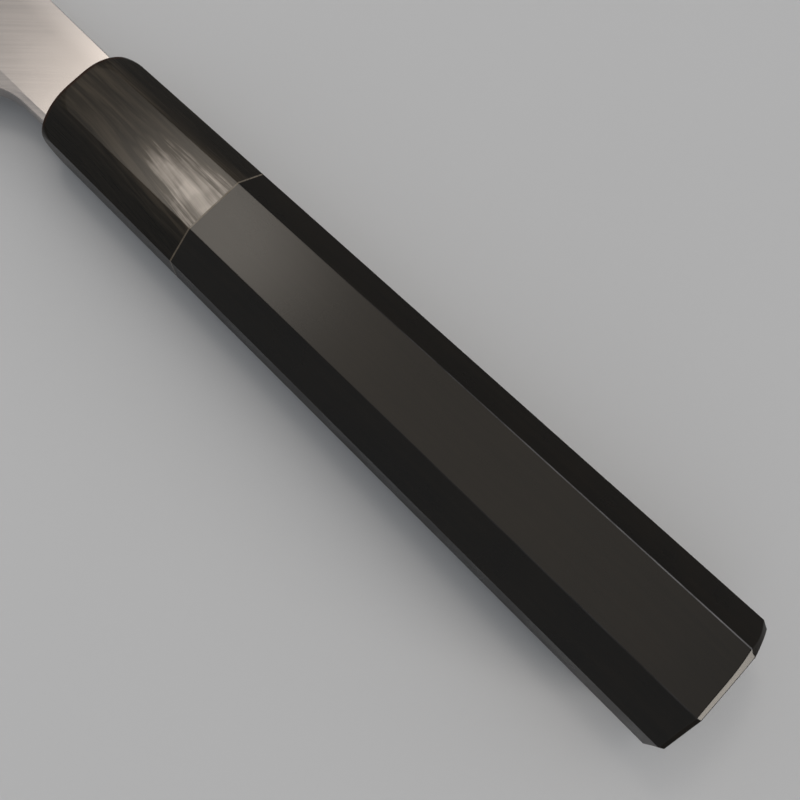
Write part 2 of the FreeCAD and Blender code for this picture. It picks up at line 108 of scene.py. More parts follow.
class BladeSizes(bpy.types.PropertyGroup):
    """Sizes of the blade, from the ferrule's mouth and the handle's axis."""
    blade_length: length("Length", 0.27, "Ferrule's mouth to tip")
    tip_offset: length("Tip", 0.0015, "Tip from the axis, towards the spine")
    spine_offset: length("Spine", 0.00787, "Spine from the axis at the mouth")
    spine_run: length("Straight spine", 0.11, "End of the spine's straight part")
    spine_slope: share("Spine slope", 0.0157, "Rise of the straight spine over its run")
    neck_below: length("Neck", 0.00825, "Neck's lower edge from the axis")
    choil_start: length("Choil", 0.0068, "Where the choil's arc leaves the neck")
    choil_radius: length("Choil radius", 0.011, "Radius of the choil's arc")
    heel_drop: length("Heel", 0.0252, "Heel's corner from the axis")
    edge_run: length("Straight edge", 0.15, "End of the edge's straight part")
    edge_slope: share("Edge slope", 0.0377, "Rise of the straight edge over its run")
    back_height: length("Back", 0.0019, "Hollow-ground face above the axis")
    neck_thick: length("Neck thickness", 0.004, "Blade's thickness at the neck")
    tip_thick: length("Tip thickness", 0.002, "Blank's thickness at the tip, before the bevel")
    tip_width: length("Tip width", 0.00032, "Width of the blade where the tip ends")
    heel_ease: length("Heel corner", 0.00045, "How far the heel's corner is eased")
    spine_round: length("Spine rounding", 0.00013, "Rounding of the spine")
    neck_round: length("Neck rounding", 0.0008, "Rounding of the neck's lower edge")
    choil_round: length("Choil rounding", 0.0003, "Rounding of the choil")
    bevel_slope: share("Bevel slope", 0.248, "Depth of the bevel over its height")
    edge_land: length("Edge land", 0.00008, "Thickness left at the cutting edge")
    steel_thick: length("Hard steel", 0.0012, "Thickness of the hard steel layer")
    weld_choil: length("Weld, edge side", 0.0165, "End of the steel layer at the heel's level")
    weld_spine: length("Weld, spine side", 0.032, "End of the steel layer at the spine")
    wheel_radius: length("Wheel", 0.13, "Radius of the hollow grind")
    tang_length: length("Tang", 0.1, "Tang's end behind the mouth")
    tang_height: length("Tang height", 0.011, "Tang's height at its root")
    tang_thick: length("Tang thickness", 0.0034, "Tang's thickness at its root")
    tang_end_height: length("Tang end height", 0.005, "Tang's height at its end")
    tang_end_thick: length("Tang end thickness", 0.0024, "Tang's thickness at its end")


class Finishes(bpy.types.PropertyGroup):
    """Colours of the materials."""
    ebony_dark: colour("Ebony, dark", (0.0058, 0.0050, 0.0041), "Ground colour of the ebony")
    ebony_brown: colour("Ebony, brown", (0.0100, 0.0078, 0.0057), "Streaks of the ebony")
    ebony_pore: colour("Ebony, pores", (0.004, 0.0035, 0.003), "Open pores of the ebony")
    # Painted highlight: a pale grey line along the grip's ridges that stands in for light caught on them
    ebony_ridge_highlight: colour("Ebony, ridge highlight", (0.20, 0.198, 0.205), "Painted highlight on the ebony's ridges")
    horn_dark: colour("Horn, dark", (0.0080, 0.0067, 0.0050), "Ground colour of the horn")
    horn_grey: colour("Horn, grey", (0.060, 0.048, 0.035), "Streaks of the horn")
    horn_pale: colour("Horn, pale", (0.59, 0.521, 0.463), "Flame of the horn")
    horn_rim: colour("Horn, rim", (0.032, 0.014, 0.008), "Rim of the horn at the mouth")
    glue: colour("Glue", (0.14, 0.11, 0.075), "Glue line")
    iron: colour("Soft iron", (0.45, 0.418, 0.402), "Neck, flats and spine")
    haze: colour("Bevel haze", (0.44, 0.435, 0.43), "Soft iron on the bevel")
    steel: colour("Hard steel", (0.68, 0.68, 0.675), "Edge and hollow-ground face")
    dowel: colour("Dowel", (0.62, 0.52, 0.36), "Wood of the core dowel")
    resin: colour("Resin", (0.24, 0.16, 0.08), "Resin round the tang")
    seal: colour("Seal", (0.035, 0.028, 0.023), "Resin plug in the mouth")


class StageSettings(bpy.types.PropertyGroup):
    """Floor and light."""
    floor: colour("Floor", (0.66, 0.67, 0.69), "Colour of the floor")
    sky: strength("Sky", 0.38, "Strength of the light from all round")
    ceiling: strength("Ceiling", 0.86, "Strength that the broad light overhead adds")
    lamp: strength("Lamp", 0.85, "Power of the small softbox overhead, in watts")
    rim: strength("Rim", 12.0, "Strength that the low light behind the butt adds")


# The knife's own frame


# Where the mount on the blade's flat lies: distance from the mouth, and from the axis towards the edge
FLAT_MOUNT = (0.12, -0.002)


def knife_place(sizes):
    """Matrix from the knife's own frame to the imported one, read from the mount on the blade's flat.

    In the knife's frame the origin is the middle of the ferrule's mouth, X runs to the tip, Y to the
    cutting edge and Z out of the hollow-ground face.
    """
    flat = next(mount for mount in frame["record"]["mounts"] if mount["name"] == "blade_flat")
    along, _, upwards = flat["axis"]
    thinning = (sizes.neck_thick - sizes.tip_thick) / sizes.blade_length
    pitch = math.atan(thinning) - math.atan2(along, -upwards)
    turn = Matrix.Rotation(pitch, 4, "Y")
    level = sizes.back_height - sizes.neck_thick + thinning * FLAT_MOUNT[0]
    spot = turn @ Vector((*FLAT_MOUNT, level))
    return Matrix.Translation(Vector(flat["pos_m"]) - spot) @ turn


# Node helpers


# Numbers of a Mix node's sockets
MIX_AMOUNT, FIRST_VALUE, SECOND_VALUE, FIRST_COLOUR, SECOND_COLOUR = 0, 2, 3, 6, 7
MIXED_VALUE, MIXED_COLOUR = 0, 2

# Noise under the streaks and the clouds
STREAK_NOISE = {"Scale": 1, "Detail": 4, "Roughness": 0.55}
CLOUD_NOISE = {"Detail": 3}


def opaque(rgb):
    return (*rgb[:3], 1)


def shade(rgb, factor):
    """A colour made darker or paler."""
    return [factor * part for part in rgb]


class Paint:
    """The nodes of one material, group or world. An input is a value, or the socket that feeds it."""

    def __init__(self, tree):
        self.tree = tree

    def plug(self, made, inputs):
        for name, value in inputs.items():
            if isinstance(value, bpy.types.NodeSocket):
                self.tree.links.new(value, made.inputs[name])
            else:
                made.inputs[name].default_value = value

    def node(self, kind, inputs=None, **settings):
        made = self.tree.nodes.new(kind)
        for name, value in settings.items():
            setattr(made, name, value)
        self.plug(made, inputs or {})
        return made

    def maths(self, operation, first, second=0.0):
        return self.node("ShaderNodeMath", {0: first, 1: second}, operation=operation).outputs[0]

    def plus(self, first, second):
        return self.maths("ADD", first, second)

    def minus(self, first, second):
        return self.maths("SUBTRACT", first, second)

    def over(self, first, second):
        return self.maths("DIVIDE", first, second)

    def larger(self, first, second):
        return self.maths("MAXIMUM", first, second)

    def unsigned(self, value):
        return self.maths("ABSOLUTE", value)

    def times(self, first, *others):
        for other in others:
            first = self.maths("MULTIPLY", first, other)
        return first

    def weighted(self, *parts):
        """Sum of values, each given with its weight."""
        total = 0.0
        for value, weight in parts:
            total = self.plus(self.times(value, weight), total)
        return total

    def fade(self, value, start, end, low=0.0, high=1.0):
        """Smooth step of a value, from low at start to high at end."""
        inputs = {"Value": value, "From Min": start, "From Max": end, "To Min": low, "To Max": high}
        return self.node("ShaderNodeMapRange", inputs, interpolation_type="SMOOTHSTEP").outputs[0]

    def mix(self, amount, first, second):
        """Mixed colour."""
        inputs = {MIX_AMOUNT: amount}
        for number, rgb in ((FIRST_COLOUR, first), (SECOND_COLOUR, second)):
            inputs[number] = rgb if isinstance(rgb, bpy.types.NodeSocket) else opaque(rgb)
        return self.node("ShaderNodeMix", inputs, data_type="RGBA").outputs[MIXED_COLOUR]

    def blend(self, amount, first, second):
        """Mixed value."""
        inputs = {MIX_AMOUNT: amount, FIRST_VALUE: first, SECOND_VALUE: second}
        return self.node("ShaderNodeMix", inputs, data_type="FLOAT").outputs[MIXED_VALUE]

    def ramp(self, value, positions, *colours):
        """Colour ramp with a colour at each position."""
        made = self.node("ShaderNodeValToRGB", {"Fac": value})
        elements = made.color_ramp.elements
        while len(elements) < len(colours):
            elements.new(1)
        for element, position, rgb in zip(elements, positions, colours, strict=True):
            element.position = position
            element.color = opaque(rgb)
        return made.outputs["Color"]

    def split(self, place):
        """The three coordinates of a place."""
        return self.node("ShaderNodeSeparateXYZ", {0: place}).outputs

    def join(self, x, y, z):
        return self.node("ShaderNodeCombineXYZ", {"X": x, "Y": y, "Z": z}).outputs[0]

    def effect(self, name, make, inputs):
        """Value of a shared node group, which is built when it is first needed."""
        shared = bpy.data.node_groups.get(name) or make(name)
        return self.node("ShaderNodeGroup", inputs, node_tree=shared).outputs[0]

    def streaks(self, place, along, across, sway=0.0):
        inputs = {"Place": place, "Along": along, "Across": across, "Sway": sway}
        return self.effect("streaks", streak_group, inputs)

    def clouds(self, place, size):
        return self.effect("clouds", cloud_group, {"Place": place, "Size": size})

    def bump(self, height, distance, amount):
        inputs = {"Height": height, "Distance": distance, "Strength": amount}
        return self.node("ShaderNodeBump", inputs).outputs[0]


def new_group(name, *values):
    """Node group that turns a place and named values into one value. Returns its nodes and its two ends."""
    tree = bpy.data.node_groups.new(name, "ShaderNodeTree")
    tree.interface.new_socket("Place", in_out="INPUT", socket_type="NodeSocketVector")
    for value in values:
        tree.interface.new_socket(value, in_out="INPUT", socket_type="NodeSocketFloat")
    tree.interface.new_socket("Value", in_out="OUTPUT", socket_type="NodeSocketFloat")
    return Paint(tree), tree.nodes.new("NodeGroupInput").outputs, tree.nodes.new("NodeGroupOutput")


def streak_group(name):
    """Streaks along X: stretched noise, with its repeats per millimetre along and across."""
    paint, inside, end = new_group(name, "Along", "Across", "Sway")
    stretch = paint.join(inside["Along"], inside["Across"], inside["Across"])
    factors = {0: inside["Place"], 1: stretch}
    place = paint.node("ShaderNodeVectorMath", factors, operation="MULTIPLY").outputs[0]
    inputs = {"Vector": place, "Distortion": inside["Sway"], **STREAK_NOISE}
    paint.plug(end, {"Value": paint.node("ShaderNodeTexNoise", inputs).outputs["Fac"]})
    return paint.tree


def cloud_group(name):
    """Soft clouds of a size in millimetres."""
    paint, inside, end = new_group(name, "Size")
    inputs = {"Vector": inside["Place"], "Scale": paint.over(1.0, inside["Size"]), **CLOUD_NOISE}
    paint.plug(end, {"Value": paint.node("ShaderNodeTexNoise", inputs).outputs["Fac"]})
    return paint.tree


def new_material(name, place_of_knife):
    """Material, its nodes, its shader and the surface's place in millimetres in the knife's own frame."""
    material = bpy.data.materials.new(name)
    material.use_nodes = True
    paint = Paint(material.node_tree)
    inverse = place_of_knife.inverted()
    inputs = {"Vector": paint.node("ShaderNodeTexCoord").outputs["Object"],
              "Location": inverse.translation * MILLIMETRES, "Rotation": inverse.to_euler(),
              "Scale": (MILLIMETRES,) * 3}
    place = paint.node("ShaderNodeMapping", inputs).outputs[0]
    return material, paint, paint.tree.nodes["Principled BSDF"], place


# Materials


# Streaks are given as repeats per millimetre along and across, and sway, and clouds as a size in millimetres.
# A fade is given as its start and end, with the values there, and a relief as depth in metres and strength

# Stretches of a noise's value: one that holds nearly all of it, and a tighter one
WIDE = (0.3, 0.7)
TIGHT = (0.35, 0.65)
NOISE_MIDDLE = 0.5

# Painted highlight on the grip's ridges: by the distance from a ridge over the handle's height, in patches,
# and in millimetres by the distance from the mouth and from the axis towards the edge
HIGHLIGHT_LINE = (0.0065, 0.002)
HIGHLIGHT_STREAKS = (0.15, 0.3)
HIGHLIGHT_PATCHES = (0.3, 0.6, 0.35, 1.0)
HIGHLIGHT_RUN = (-50, -138)
HIGHLIGHT_SIDE = (2, -2, 0.12, 1.0)


def ridge_highlight(paint, place, sizes):
    """Mask of the painted highlight on the ridges beside the broad side facets, strongest on the spine's side
    towards the butt.
    """
    x, y, z = paint.split(place)
    taper = (sizes.butt_height - sizes.mouth_height) / sizes.handle_length
    height = paint.minus(sizes.mouth_height * MILLIMETRES, paint.times(x, taper))
    gaps = []
    for part, ridge in ((y, sizes.facet_share / 2), (z, sizes.thick_share / 2)):
        level = paint.over(paint.unsigned(part), height)
        gaps.append(paint.unsigned(paint.minus(level, ridge)))
    line = paint.fade(paint.larger(*gaps), *HIGHLIGHT_LINE)
    patchy = paint.fade(paint.streaks(place, *HIGHLIGHT_STREAKS), *HIGHLIGHT_PATCHES)
    return paint.times(line, patchy, paint.fade(x, *HIGHLIGHT_RUN), paint.fade(y, *HIGHLIGHT_SIDE))


# Film of oil and wax on ebony and on horn: its weight where it is seen squarely, and its roughness
EBONY_FILM = (0.48, 0.2)
HORN_FILM = (0.33, 0.16)

# How far from square the film changes, and its weight at a slant
FILM_SLANTS = (0.28, 0.44)
SLANT_FILM = 0.02

# Faint gloss of the ebony and horn under the film
UNDER_GLOSS = 0.04
WARM_GLOSS = (1.0, 0.9, 0.78)


def polish(paint, shader, weight, roughness):
    """Thin rubbed film: glossy where it is seen squarely, and dull at a slant."""
    slant = paint.node("ShaderNodeLayerWeight").outputs["Facing"]
    film = paint.fade(slant, *FILM_SLANTS, weight, SLANT_FILM)
    paint.plug(shader, {"Coat Weight": film, "Coat Roughness": roughness,
                        "Specular IOR Level": UNDER_GLOSS, "Specular Tint": opaque(WARM_GLOSS)})


EBONY_FIGURE = 9
EBONY_GRAIN = (0.02, 0.6, 0.8)
EBONY_FIBRE = (0.12, 3.4, 0.2)
EBONY_PORES = (0.45, 7.0)
PORE_FADE = (0.6, 0.72)
EBONY_TONES = (0.38, 0.62)
EBONY_ROUGH = (0.26, 0.32)
EBONY_RELIEF = (0.00002, 0.12)

# Shares of the figure and the grain in the ebony's tone, and how far fibre and pores darken and roughen it
FIGURE_SHARE, GRAIN_SHARE = 0.5, 0.5
FIBRE_DARK, PORE_DARK = 0.3, 0.5
FIBRE_HEIGHT, PORE_ROUGH = 0.4, 0.1


def ebony(scene, place_of_knife):
    """Oiled ebony: near black and even, with a faint brown figure and fine open pores along the grain."""
    finish = scene.knife_finish
    material, paint, shader, place = new_material("ebony", place_of_knife)
    figure = paint.clouds(place, EBONY_FIGURE)
    grain = paint.streaks(place, *EBONY_GRAIN)
    fibre = paint.streaks(place, *EBONY_FIBRE)
    pores = paint.fade(paint.streaks(place, *EBONY_PORES), *PORE_FADE)
    tone = paint.weighted((figure, FIGURE_SHARE), (grain, GRAIN_SHARE))
    base = paint.ramp(tone, EBONY_TONES, finish.ebony_dark, finish.ebony_brown)
    base = paint.mix(paint.fade(fibre, *TIGHT, 0.0, FIBRE_DARK), base, finish.ebony_dark)
    base = paint.mix(paint.times(pores, PORE_DARK), base, finish.ebony_pore)
    # Painted highlight: pale grey along the ridges, standing in for light caught on them
    base = paint.mix(ridge_highlight(paint, place, scene.knife_handle), base, finish.ebony_ridge_highlight)
    rough = paint.plus(paint.fade(figure, *WIDE, *EBONY_ROUGH), paint.times(pores, PORE_ROUGH))
    depth = paint.minus(paint.times(fibre, FIBRE_HEIGHT), pores)
    paint.plug(shader, {"Base Color": base, "Roughness": rough, "Normal": paint.bump(depth, *EBONY_RELIEF)})
    polish(paint, shader, *EBONY_FILM)
    return material


# Flames of the horn: apex in millimetres from the mouth and the axis, and side of the handle
FLAMES = [(-9.0, 0.9, 1), (-4.0, -0.5, -1)]

# Half width of a flame in millimetres: on the spine's side, on the edge's side at the apex, and how fast
# that widens
FLAME_SPINE = 5.0
FLAME_EDGE = 1.5
FLAME_SPREAD = 0.11

# Fade of a flame: over its half width, behind its apex in two steps, and from the axis up to the facet
FLAME_BORDER = (1.6, 0.0)
FLAME_STARTS = [(4.0, 14.5, 0.0, 0.7), (10.0, 24.0, 0.0, 0.3)]
FLAME_FACET = (5.5, 8.2)

# How many millimetres the ragged border moves those two steps
FLAME_REACH = 6.0


def flame(paint, place, ragged, apex_x, apex_y, side):
    """Pale wedge on a broad facet, with a ragged border, which widens from its apex towards the grip."""
    x, y, z = paint.split(place)
    behind = paint.larger(paint.minus(apex_x, x), 0.0)
    edge_half = paint.plus(paint.times(behind, FLAME_SPREAD), FLAME_EDGE)
    towards_edge = paint.minus(y, apex_y)
    off = paint.larger(paint.over(towards_edge, edge_half), paint.over(towards_edge, -FLAME_SPINE))
    border = paint.fade(paint.plus(off, ragged), *FLAME_BORDER)
    reach = paint.minus(behind, paint.times(ragged, FLAME_REACH))
    start = paint.plus(*(paint.fade(reach, *step) for step in FLAME_STARTS))
    return paint.times(border, start, paint.fade(paint.times(z, side), *FLAME_FACET))


# Where the streaks of the horn start to fan out behind the mouth, in millimetres, how fast, and how the
# fan grows from the spine's side to the edge's
FAN_START = -8.0
FAN_RATE = 0.12
FAN_ACROSS = (-3.5, 4.0)


def fanned(paint, place):
    """The place with the streaks' fan taken out: behind its start they drift towards the edge's side."""
    x, y, z = paint.split(place)
    behind = paint.larger(paint.minus(FAN_START, x), 0.0)
    drift = paint.times(behind, FAN_RATE, paint.fade(y, *FAN_ACROSS))
    return paint.join(x, paint.minus(y, drift), z)


# Line round the mouth's rim: where it starts behind the rim and ends at it, in millimetres
RIM_START = (-0.8, -0.3)
RIM_END = (0.0, -0.12)


def mouth_rim(paint, place, sizes):
    """Mask of the thin line round the mouth's rim, which lies back on the spine's side."""
    x, y, _ = paint.split(place)
    half = sizes.mouth_height * MILLIMETRES / 2
    towards_spine = paint.larger(paint.over(y, -half), 0.0)
    lean = paint.times(towards_spine, towards_spine, sizes.mouth_lean * MILLIMETRES)
    ahead = paint.plus(x, lean)
    return paint.times(paint.fade(ahead, *RIM_START), paint.fade(ahead, *RIM_END))


HORN_BROAD = (0.03, 0.4, 0.6)
HORN_THIN = (0.06, 0.95, 0.4)
HORN_FIBRE = (0.09, 3.2, 0.2)
HORN_CLOUDS = 3.5
HORN_TONES = (0.0, 0.28, 0.95)
HORN_ROUGH = (0.2, 0.28)
HORN_RELIEF = (0.00001, 0.06)

# Weights of the broad streaks, the thin ones and the fibre in a flame's ragged border
RAGGED = (0.9, 1.1, 0.9)

# Feathers of a flame: stretch of the noise, and what the thin streaks, the fibre and the clouds leave of it
FEATHER = (0.62, 0.38)
FEATHER_LEAST = (0.8, 0.9, 0.82)

# Grey lines of the horn by the broad and the thin streaks, and from the axis up to the facets
BROAD_LINES = (0.38, 0.62, 0.35, 1.0)
THIN_LINES = (0.36, 0.64, 0.09, 0.25)
LINES_FACET = (6.3, 8.5, 0.12, 1.0)
FIBRE_TONES = (-0.015, 0.015)


def horn(scene, place_of_knife):
    """Polished marbled horn: dark, with grey streaks along it and pale feathered flames."""
    finish = scene.knife_finish
    material, paint, shader, place = new_material("horn", place_of_knife)
    growth = fanned(paint, place)
    broad = paint.streaks(growth, *HORN_BROAD)
    thin = paint.streaks(growth, *HORN_THIN)
    fibre = paint.streaks(growth, *HORN_FIBRE)
    ragged = paint.weighted(*zip((broad, thin, fibre), RAGGED))
    ragged = paint.minus(ragged, NOISE_MIDDLE * sum(RAGGED))
    glow = 0.0
    for values in FLAMES:
        glow = paint.larger(flame(paint, place, ragged, *values), glow)
    for noise, least in zip((thin, fibre, paint.clouds(growth, HORN_CLOUDS)), FEATHER_LEAST):
        glow = paint.times(glow, paint.fade(noise, *FEATHER, least, 1.0))
    lines = paint.times(paint.fade(broad, *BROAD_LINES), paint.fade(thin, *THIN_LINES))
    on_side = paint.fade(paint.unsigned(paint.split(place)["Z"]), *LINES_FACET)
    amount = paint.larger(glow, paint.times(lines, on_side))
    amount = paint.plus(amount, paint.fade(fibre, *WIDE, *FIBRE_TONES))
    base = paint.ramp(amount, HORN_TONES, finish.horn_dark, finish.horn_grey, finish.horn_pale)
    base = paint.mix(mouth_rim(paint, place, scene.knife_handle), base, finish.horn_rim)
    rough = paint.fade(fibre, *WIDE, *HORN_ROUGH)
    paint.plug(shader, {"Base Color": base, "Roughness": rough, "Normal": paint.bump(fibre, *HORN_RELIEF)})
    polish(paint, shader, *HORN_FILM)
    return material


def mottle(paint, shader, noise, rgb, tones, shades, roughness):
    """Plain finish whose colour runs from one shade to another with a noise, and its roughness too."""
    base = paint.ramp(noise, tones, *(shade(rgb, factor) for factor in shades))
    paint.plug(shader, {"Base Color": base, "Roughness": paint.fade(noise, *WIDE, *roughness)})


# Mottled finishes: noise, then the stretch of its value, the two shades and the roughness
GLUE_SPECKLE = 0.9
GLUE_LOOK = ((0.3, 0.65), (0.7, 1.0), (0.25, 0.4))
DOWEL_GRAIN = (0.015, 0.9, 0.6)
DOWEL_LOOK = ((0.3, 0.65), (0.75, 1.0), (0.6, 0.75))
RESIN_CLOUDS = 2.5
RESIN_LOOK = (WIDE, (0.7, 1.15), (0.3, 0.45))


def glue(scene, place_of_knife):
    """Dried glue with a fine speckle."""
    material, paint, shader, place = new_material("glue", place_of_knife)
    mottle(paint, shader, paint.clouds(place, GLUE_SPECKLE), scene.knife_finish.glue, *GLUE_LOOK)
    return material


def dowel_wood(scene, place_of_knife):
    """Pale light wood with its grain along the knife."""
    material, paint, shader, place = new_material("magnolia", place_of_knife)
    mottle(paint, shader, paint.streaks(place, *DOWEL_GRAIN), scene.knife_finish.dowel, *DOWEL_LOOK)
    return material


def resin(name, rgb, place_of_knife):
    """Cast resin with a faint cloudiness."""
    material, paint, shader, place = new_material(name, place_of_knife)
    mottle(paint, shader, paint.clouds(place, RESIN_CLOUDS), rgb, *RESIN_LOOK)
    return material


# Fine and broad hairlines of a satin finish, with their shares
HAIRLINES = [((0.05, 11.0), 0.65), ((0.03, 2.2), 0.35)]

# Angle of the hairlines to the knife's axis, in degrees: on the back, and on the bevelled side
BACK_HAIRLINES = 43.7
FRONT_HAIRLINES = 0

HAIR_DEPTH = 0.00001


def satin(paint, place, degrees):
    """Value of a satin finish with its hairlines at an angle to the axis."""
    turn = {"Vector": place, "Rotation": (0, 0, math.radians(-degrees))}
    along = paint.node("ShaderNodeMapping", turn).outputs[0]
    return paint.weighted(*((paint.streaks(along, *hairs), part) for hairs, part in HAIRLINES))


def brush(paint, shader, base, rough, lines, relief):
    """Bare metal with hairlines."""
    paint.plug(shader, {"Base Color": base, "Metallic": 1.0, "Roughness": rough,
                        "Normal": paint.bump(lines, HAIR_DEPTH, relief)})


# Level of the bevelled side, in millimetres above the axis, where its hairlines take over
FRONT_LEVEL = (1.0, 0.2)

# Soft iron: shades of the hairlines, the clouds and the painted highlight on the strip by the spine, where
# these two lie, and its finish
IRON_LINES, IRON_CLOUDED, IRON_SPINE_HIGHLIGHT = 0.93, 1.12, 1.22
IRON_CLOUDS = 7
IRON_CLOUD_FADE = (0.4, 0.7, 0.0, 0.25)
SPINE_HIGHLIGHT_STRIP = (-3.5, -8.0)
IRON_ROUGH = (0.22, 0.27)
IRON_RELIEF = 0.03


def soft_iron(scene, place_of_knife):
    """Satin soft iron: slanted hairlines on the back and lengthwise ones on the bevelled side."""
    rgb = scene.knife_finish.iron
    material, paint, shader, place = new_material("soft_iron", place_of_knife)
    _, y, z = paint.split(place)
    lines = paint.blend(paint.fade(z, *FRONT_LEVEL), satin(paint, place, BACK_HAIRLINES),
                        satin(paint, place, FRONT_HAIRLINES))
    clouded = paint.fade(paint.clouds(place, IRON_CLOUDS), *IRON_CLOUD_FADE)
    base = paint.mix(paint.fade(lines, *TIGHT), shade(rgb, IRON_LINES), rgb)
    base = paint.mix(clouded, base, shade(rgb, IRON_CLOUDED))
    # Painted highlight: the iron made paler towards the spine, standing in for the light reflected there
    base = paint.mix(paint.fade(y, *SPINE_HIGHLIGHT_STRIP), base, shade(rgb, IRON_SPINE_HIGHLIGHT))
    brush(paint, shader, base, paint.fade(lines, *WIDE, *IRON_ROUGH), lines, IRON_RELIEF)
    return material


# Hard steel: shade of the hairlines, roughness in the hollow and on its flat rim, the rim's level in
# millimetres, and the hairlines' relief
STEEL_LINES = 0.9
HOLLOW_ROUGH = (0.25, 0.36)
RIM_ROUGH = 0.17
RIM_LEVEL = (1.88, 1.895)
STEEL_RELIEF = 0.1


def hard_steel(scene, place_of_knife):
    """Hard steel of the back: satin in the hollow, polished on the flat rim round it."""
    rgb = scene.knife_finish.steel
    material, paint, shader, place = new_material("hard_steel", place_of_knife)
    rim = paint.fade(paint.split(place)["Z"], *RIM_LEVEL)
    lines = satin(paint, place, BACK_HAIRLINES)
    base = paint.mix(paint.fade(lines, *TIGHT), shade(rgb, STEEL_LINES), rgb)
    rough = paint.blend(rim, paint.fade(lines, *WIDE, *HOLLOW_ROUGH), RIM_ROUGH)
    brush(paint, shader, base, rough, lines, STEEL_RELIEF)
    return material


# Weld line on the bevel: its height above the edge in millimetres, its waves and their height, and where
# the haze starts
WELD_ABOVE = 5.9
WELD_WAVES = (0.09, 0.05, 0.6)
WAVE_HEIGHT = 4.0
HAZE_START = (-0.25, 0.35)

# Pale band above the weld line: its two borders, its share and its shade
BAND_LOW = (0.1, 0.5)
BAND_HIGH = (2.4, 0.5)
BAND_SHARE, BAND_SHADE = 0.5, 1.2

# Hairlines and roughness of the bevel
BEVEL_LINES, BEVEL_SHADE = 0.3, 0.8
BEVEL_CLOUDS = 5
HAZE_ROUGH = (0.44, 0.52)
EDGE_ROUGH = 0.24


def ground_bevel(scene, place_of_knife):
    """Bevel: hazy soft iron above a wavy weld line, bright hard steel below it."""
    finish = scene.knife_finish
    sizes = scene.knife_blade
    material, paint, shader, place = new_material("ground_bevel", place_of_knife)
    edge_level = (sizes.back_height - sizes.edge_land) * MILLIMETRES
    above = paint.over(paint.minus(edge_level, paint.split(place)["Z"]), sizes.bevel_slope)
    wave = paint.times(paint.minus(paint.streaks(place, *WELD_WAVES), NOISE_MIDDLE), WAVE_HEIGHT)
    line = paint.minus(paint.minus(above, WELD_ABOVE), wave)
    haze = paint.fade(line, *HAZE_START)
    band = paint.times(paint.fade(line, *BAND_LOW), paint.fade(line, *BAND_HIGH), BAND_SHARE)
    lines = satin(paint, place, FRONT_HAIRLINES)
    base = paint.mix(haze, finish.steel, finish.haze)
    base = paint.mix(band, base, shade(finish.haze, BAND_SHADE))
    base = paint.mix(paint.fade(lines, *TIGHT, 0.0, BEVEL_LINES), base, shade(finish.haze, BEVEL_SHADE))
    hazy_rough = paint.fade(paint.clouds(place, BEVEL_CLOUDS), *WIDE, *HAZE_ROUGH)
    brush(paint, shader, base, paint.blend(haze, EDGE_ROUGH, hazy_rough), lines, STEEL_RELIEF)
    return material


# Modelling helpers


def deselect():
    bpy.ops.object.select_all(action="DESELECT")


def lay_down(piece, place):
    """Select only the piece and move it from the knife's frame to its place, with the place in its mesh."""
    deselect()
    piece.select_set(True)
    bpy.context.view_layer.objects.active = piece
    piece.matrix_world = place
    bpy.ops.object.transform_apply(location=True, rotation=True, scale=True)


def hand_over(piece, node_name):
    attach(piece, "root")
    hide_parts(node_name)


# Sheets wrapped through loops of points


# Edges flatter than this are shaded smooth
SMOOTH_BELOW = math.radians(30)


def even(start, end, count):
    """Evenly spaced values from start up to, and without, end."""
    return [start + (end - start) * step / count for step in range(count)]


def wrap_sheet(name, loops):
    """Sheet of a grid wrapped through the loops, with its seam still open."""
    deselect()
    around = len(loops[0])
    bpy.ops.mesh.primitive_grid_add(x_subdivisions=around, y_subdivisions=len(loops) - 1, size=1)
    sheet = bpy.context.object
    sheet.name = name
    sheet.data.name = name
    places = [p for loop in loops for p in (*loop, loop[0])]
    for vertex, p in zip(sheet.data.vertices, places, strict=True):
        vertex.co = p
    return sheet


def close_sheet():
    """Merge the seam and the collapsed strips, fill the open ends and turn all faces outwards."""
    bpy.ops.object.mode_set(mode="EDIT")
    bpy.ops.mesh.select_all(action="SELECT")
    bpy.ops.mesh.remove_doubles(threshold=TOUCHING)
    bpy.ops.mesh.delete_loose()
    bpy.ops.mesh.select_mode(type="EDGE")
    bpy.ops.mesh.select_all(action="DESELECT")
    bpy.ops.mesh.select_non_manifold()
    bpy.ops.mesh.fill_holes(sides=0)
    bpy.ops.mesh.select_all(action="SELECT")
    bpy.ops.mesh.normals_make_consistent(inside=False)
    bpy.ops.object.mode_set(mode="OBJECT")


# Handle


FACETS = 8
TURN = 2 * math.pi / FACETS

# Strips across a facet and round a ridge, and rings round the mouth, behind it and on the butt's roundings
FACET_STRIPS = 10
RIDGE_STRIPS = 6
MOUTH_STEPS = 8
BLEND_STEPS = 12
SHOULDER_STEPS = 4
RIM_STEPS = 5

# Share of a facet's width that all its strips but the outermost two take up
INNER_STRIPS = 0.97

# Share of a facet's turn that its flat takes up round the bore
BORE_FLAT = 0.9

# How far a ridge lies towards the edge or the spine, from -1 to 1, where the butt is skewed in full
SKEWED_FROM = 0.4

# How firmly the facets keep their own normals beside the roundings, from 1 to 100
FACET_WEIGHT = 100


def section_places():
    """Places round a section: facet, place across it from -1 to 1, turn round the next ridge from 0 to 1."""
    places = []
    inner = even(-INNER_STRIPS, INNER_STRIPS, FACET_STRIPS - 2)
    for facet in range(FACETS):
        places += [(facet, across, 0.0) for across in (-1.0, *inner, INNER_STRIPS)]
        places += [(facet, 1.0, turn) for turn in even(0, 1, RIDGE_STRIPS)]
    return places


def facet_normal(turns):
    """Direction out of a facet, or out of the ridge between two, across the handle's axis."""
    return Vector((math.cos(turns * TURN), math.sin(turns * TURN)))


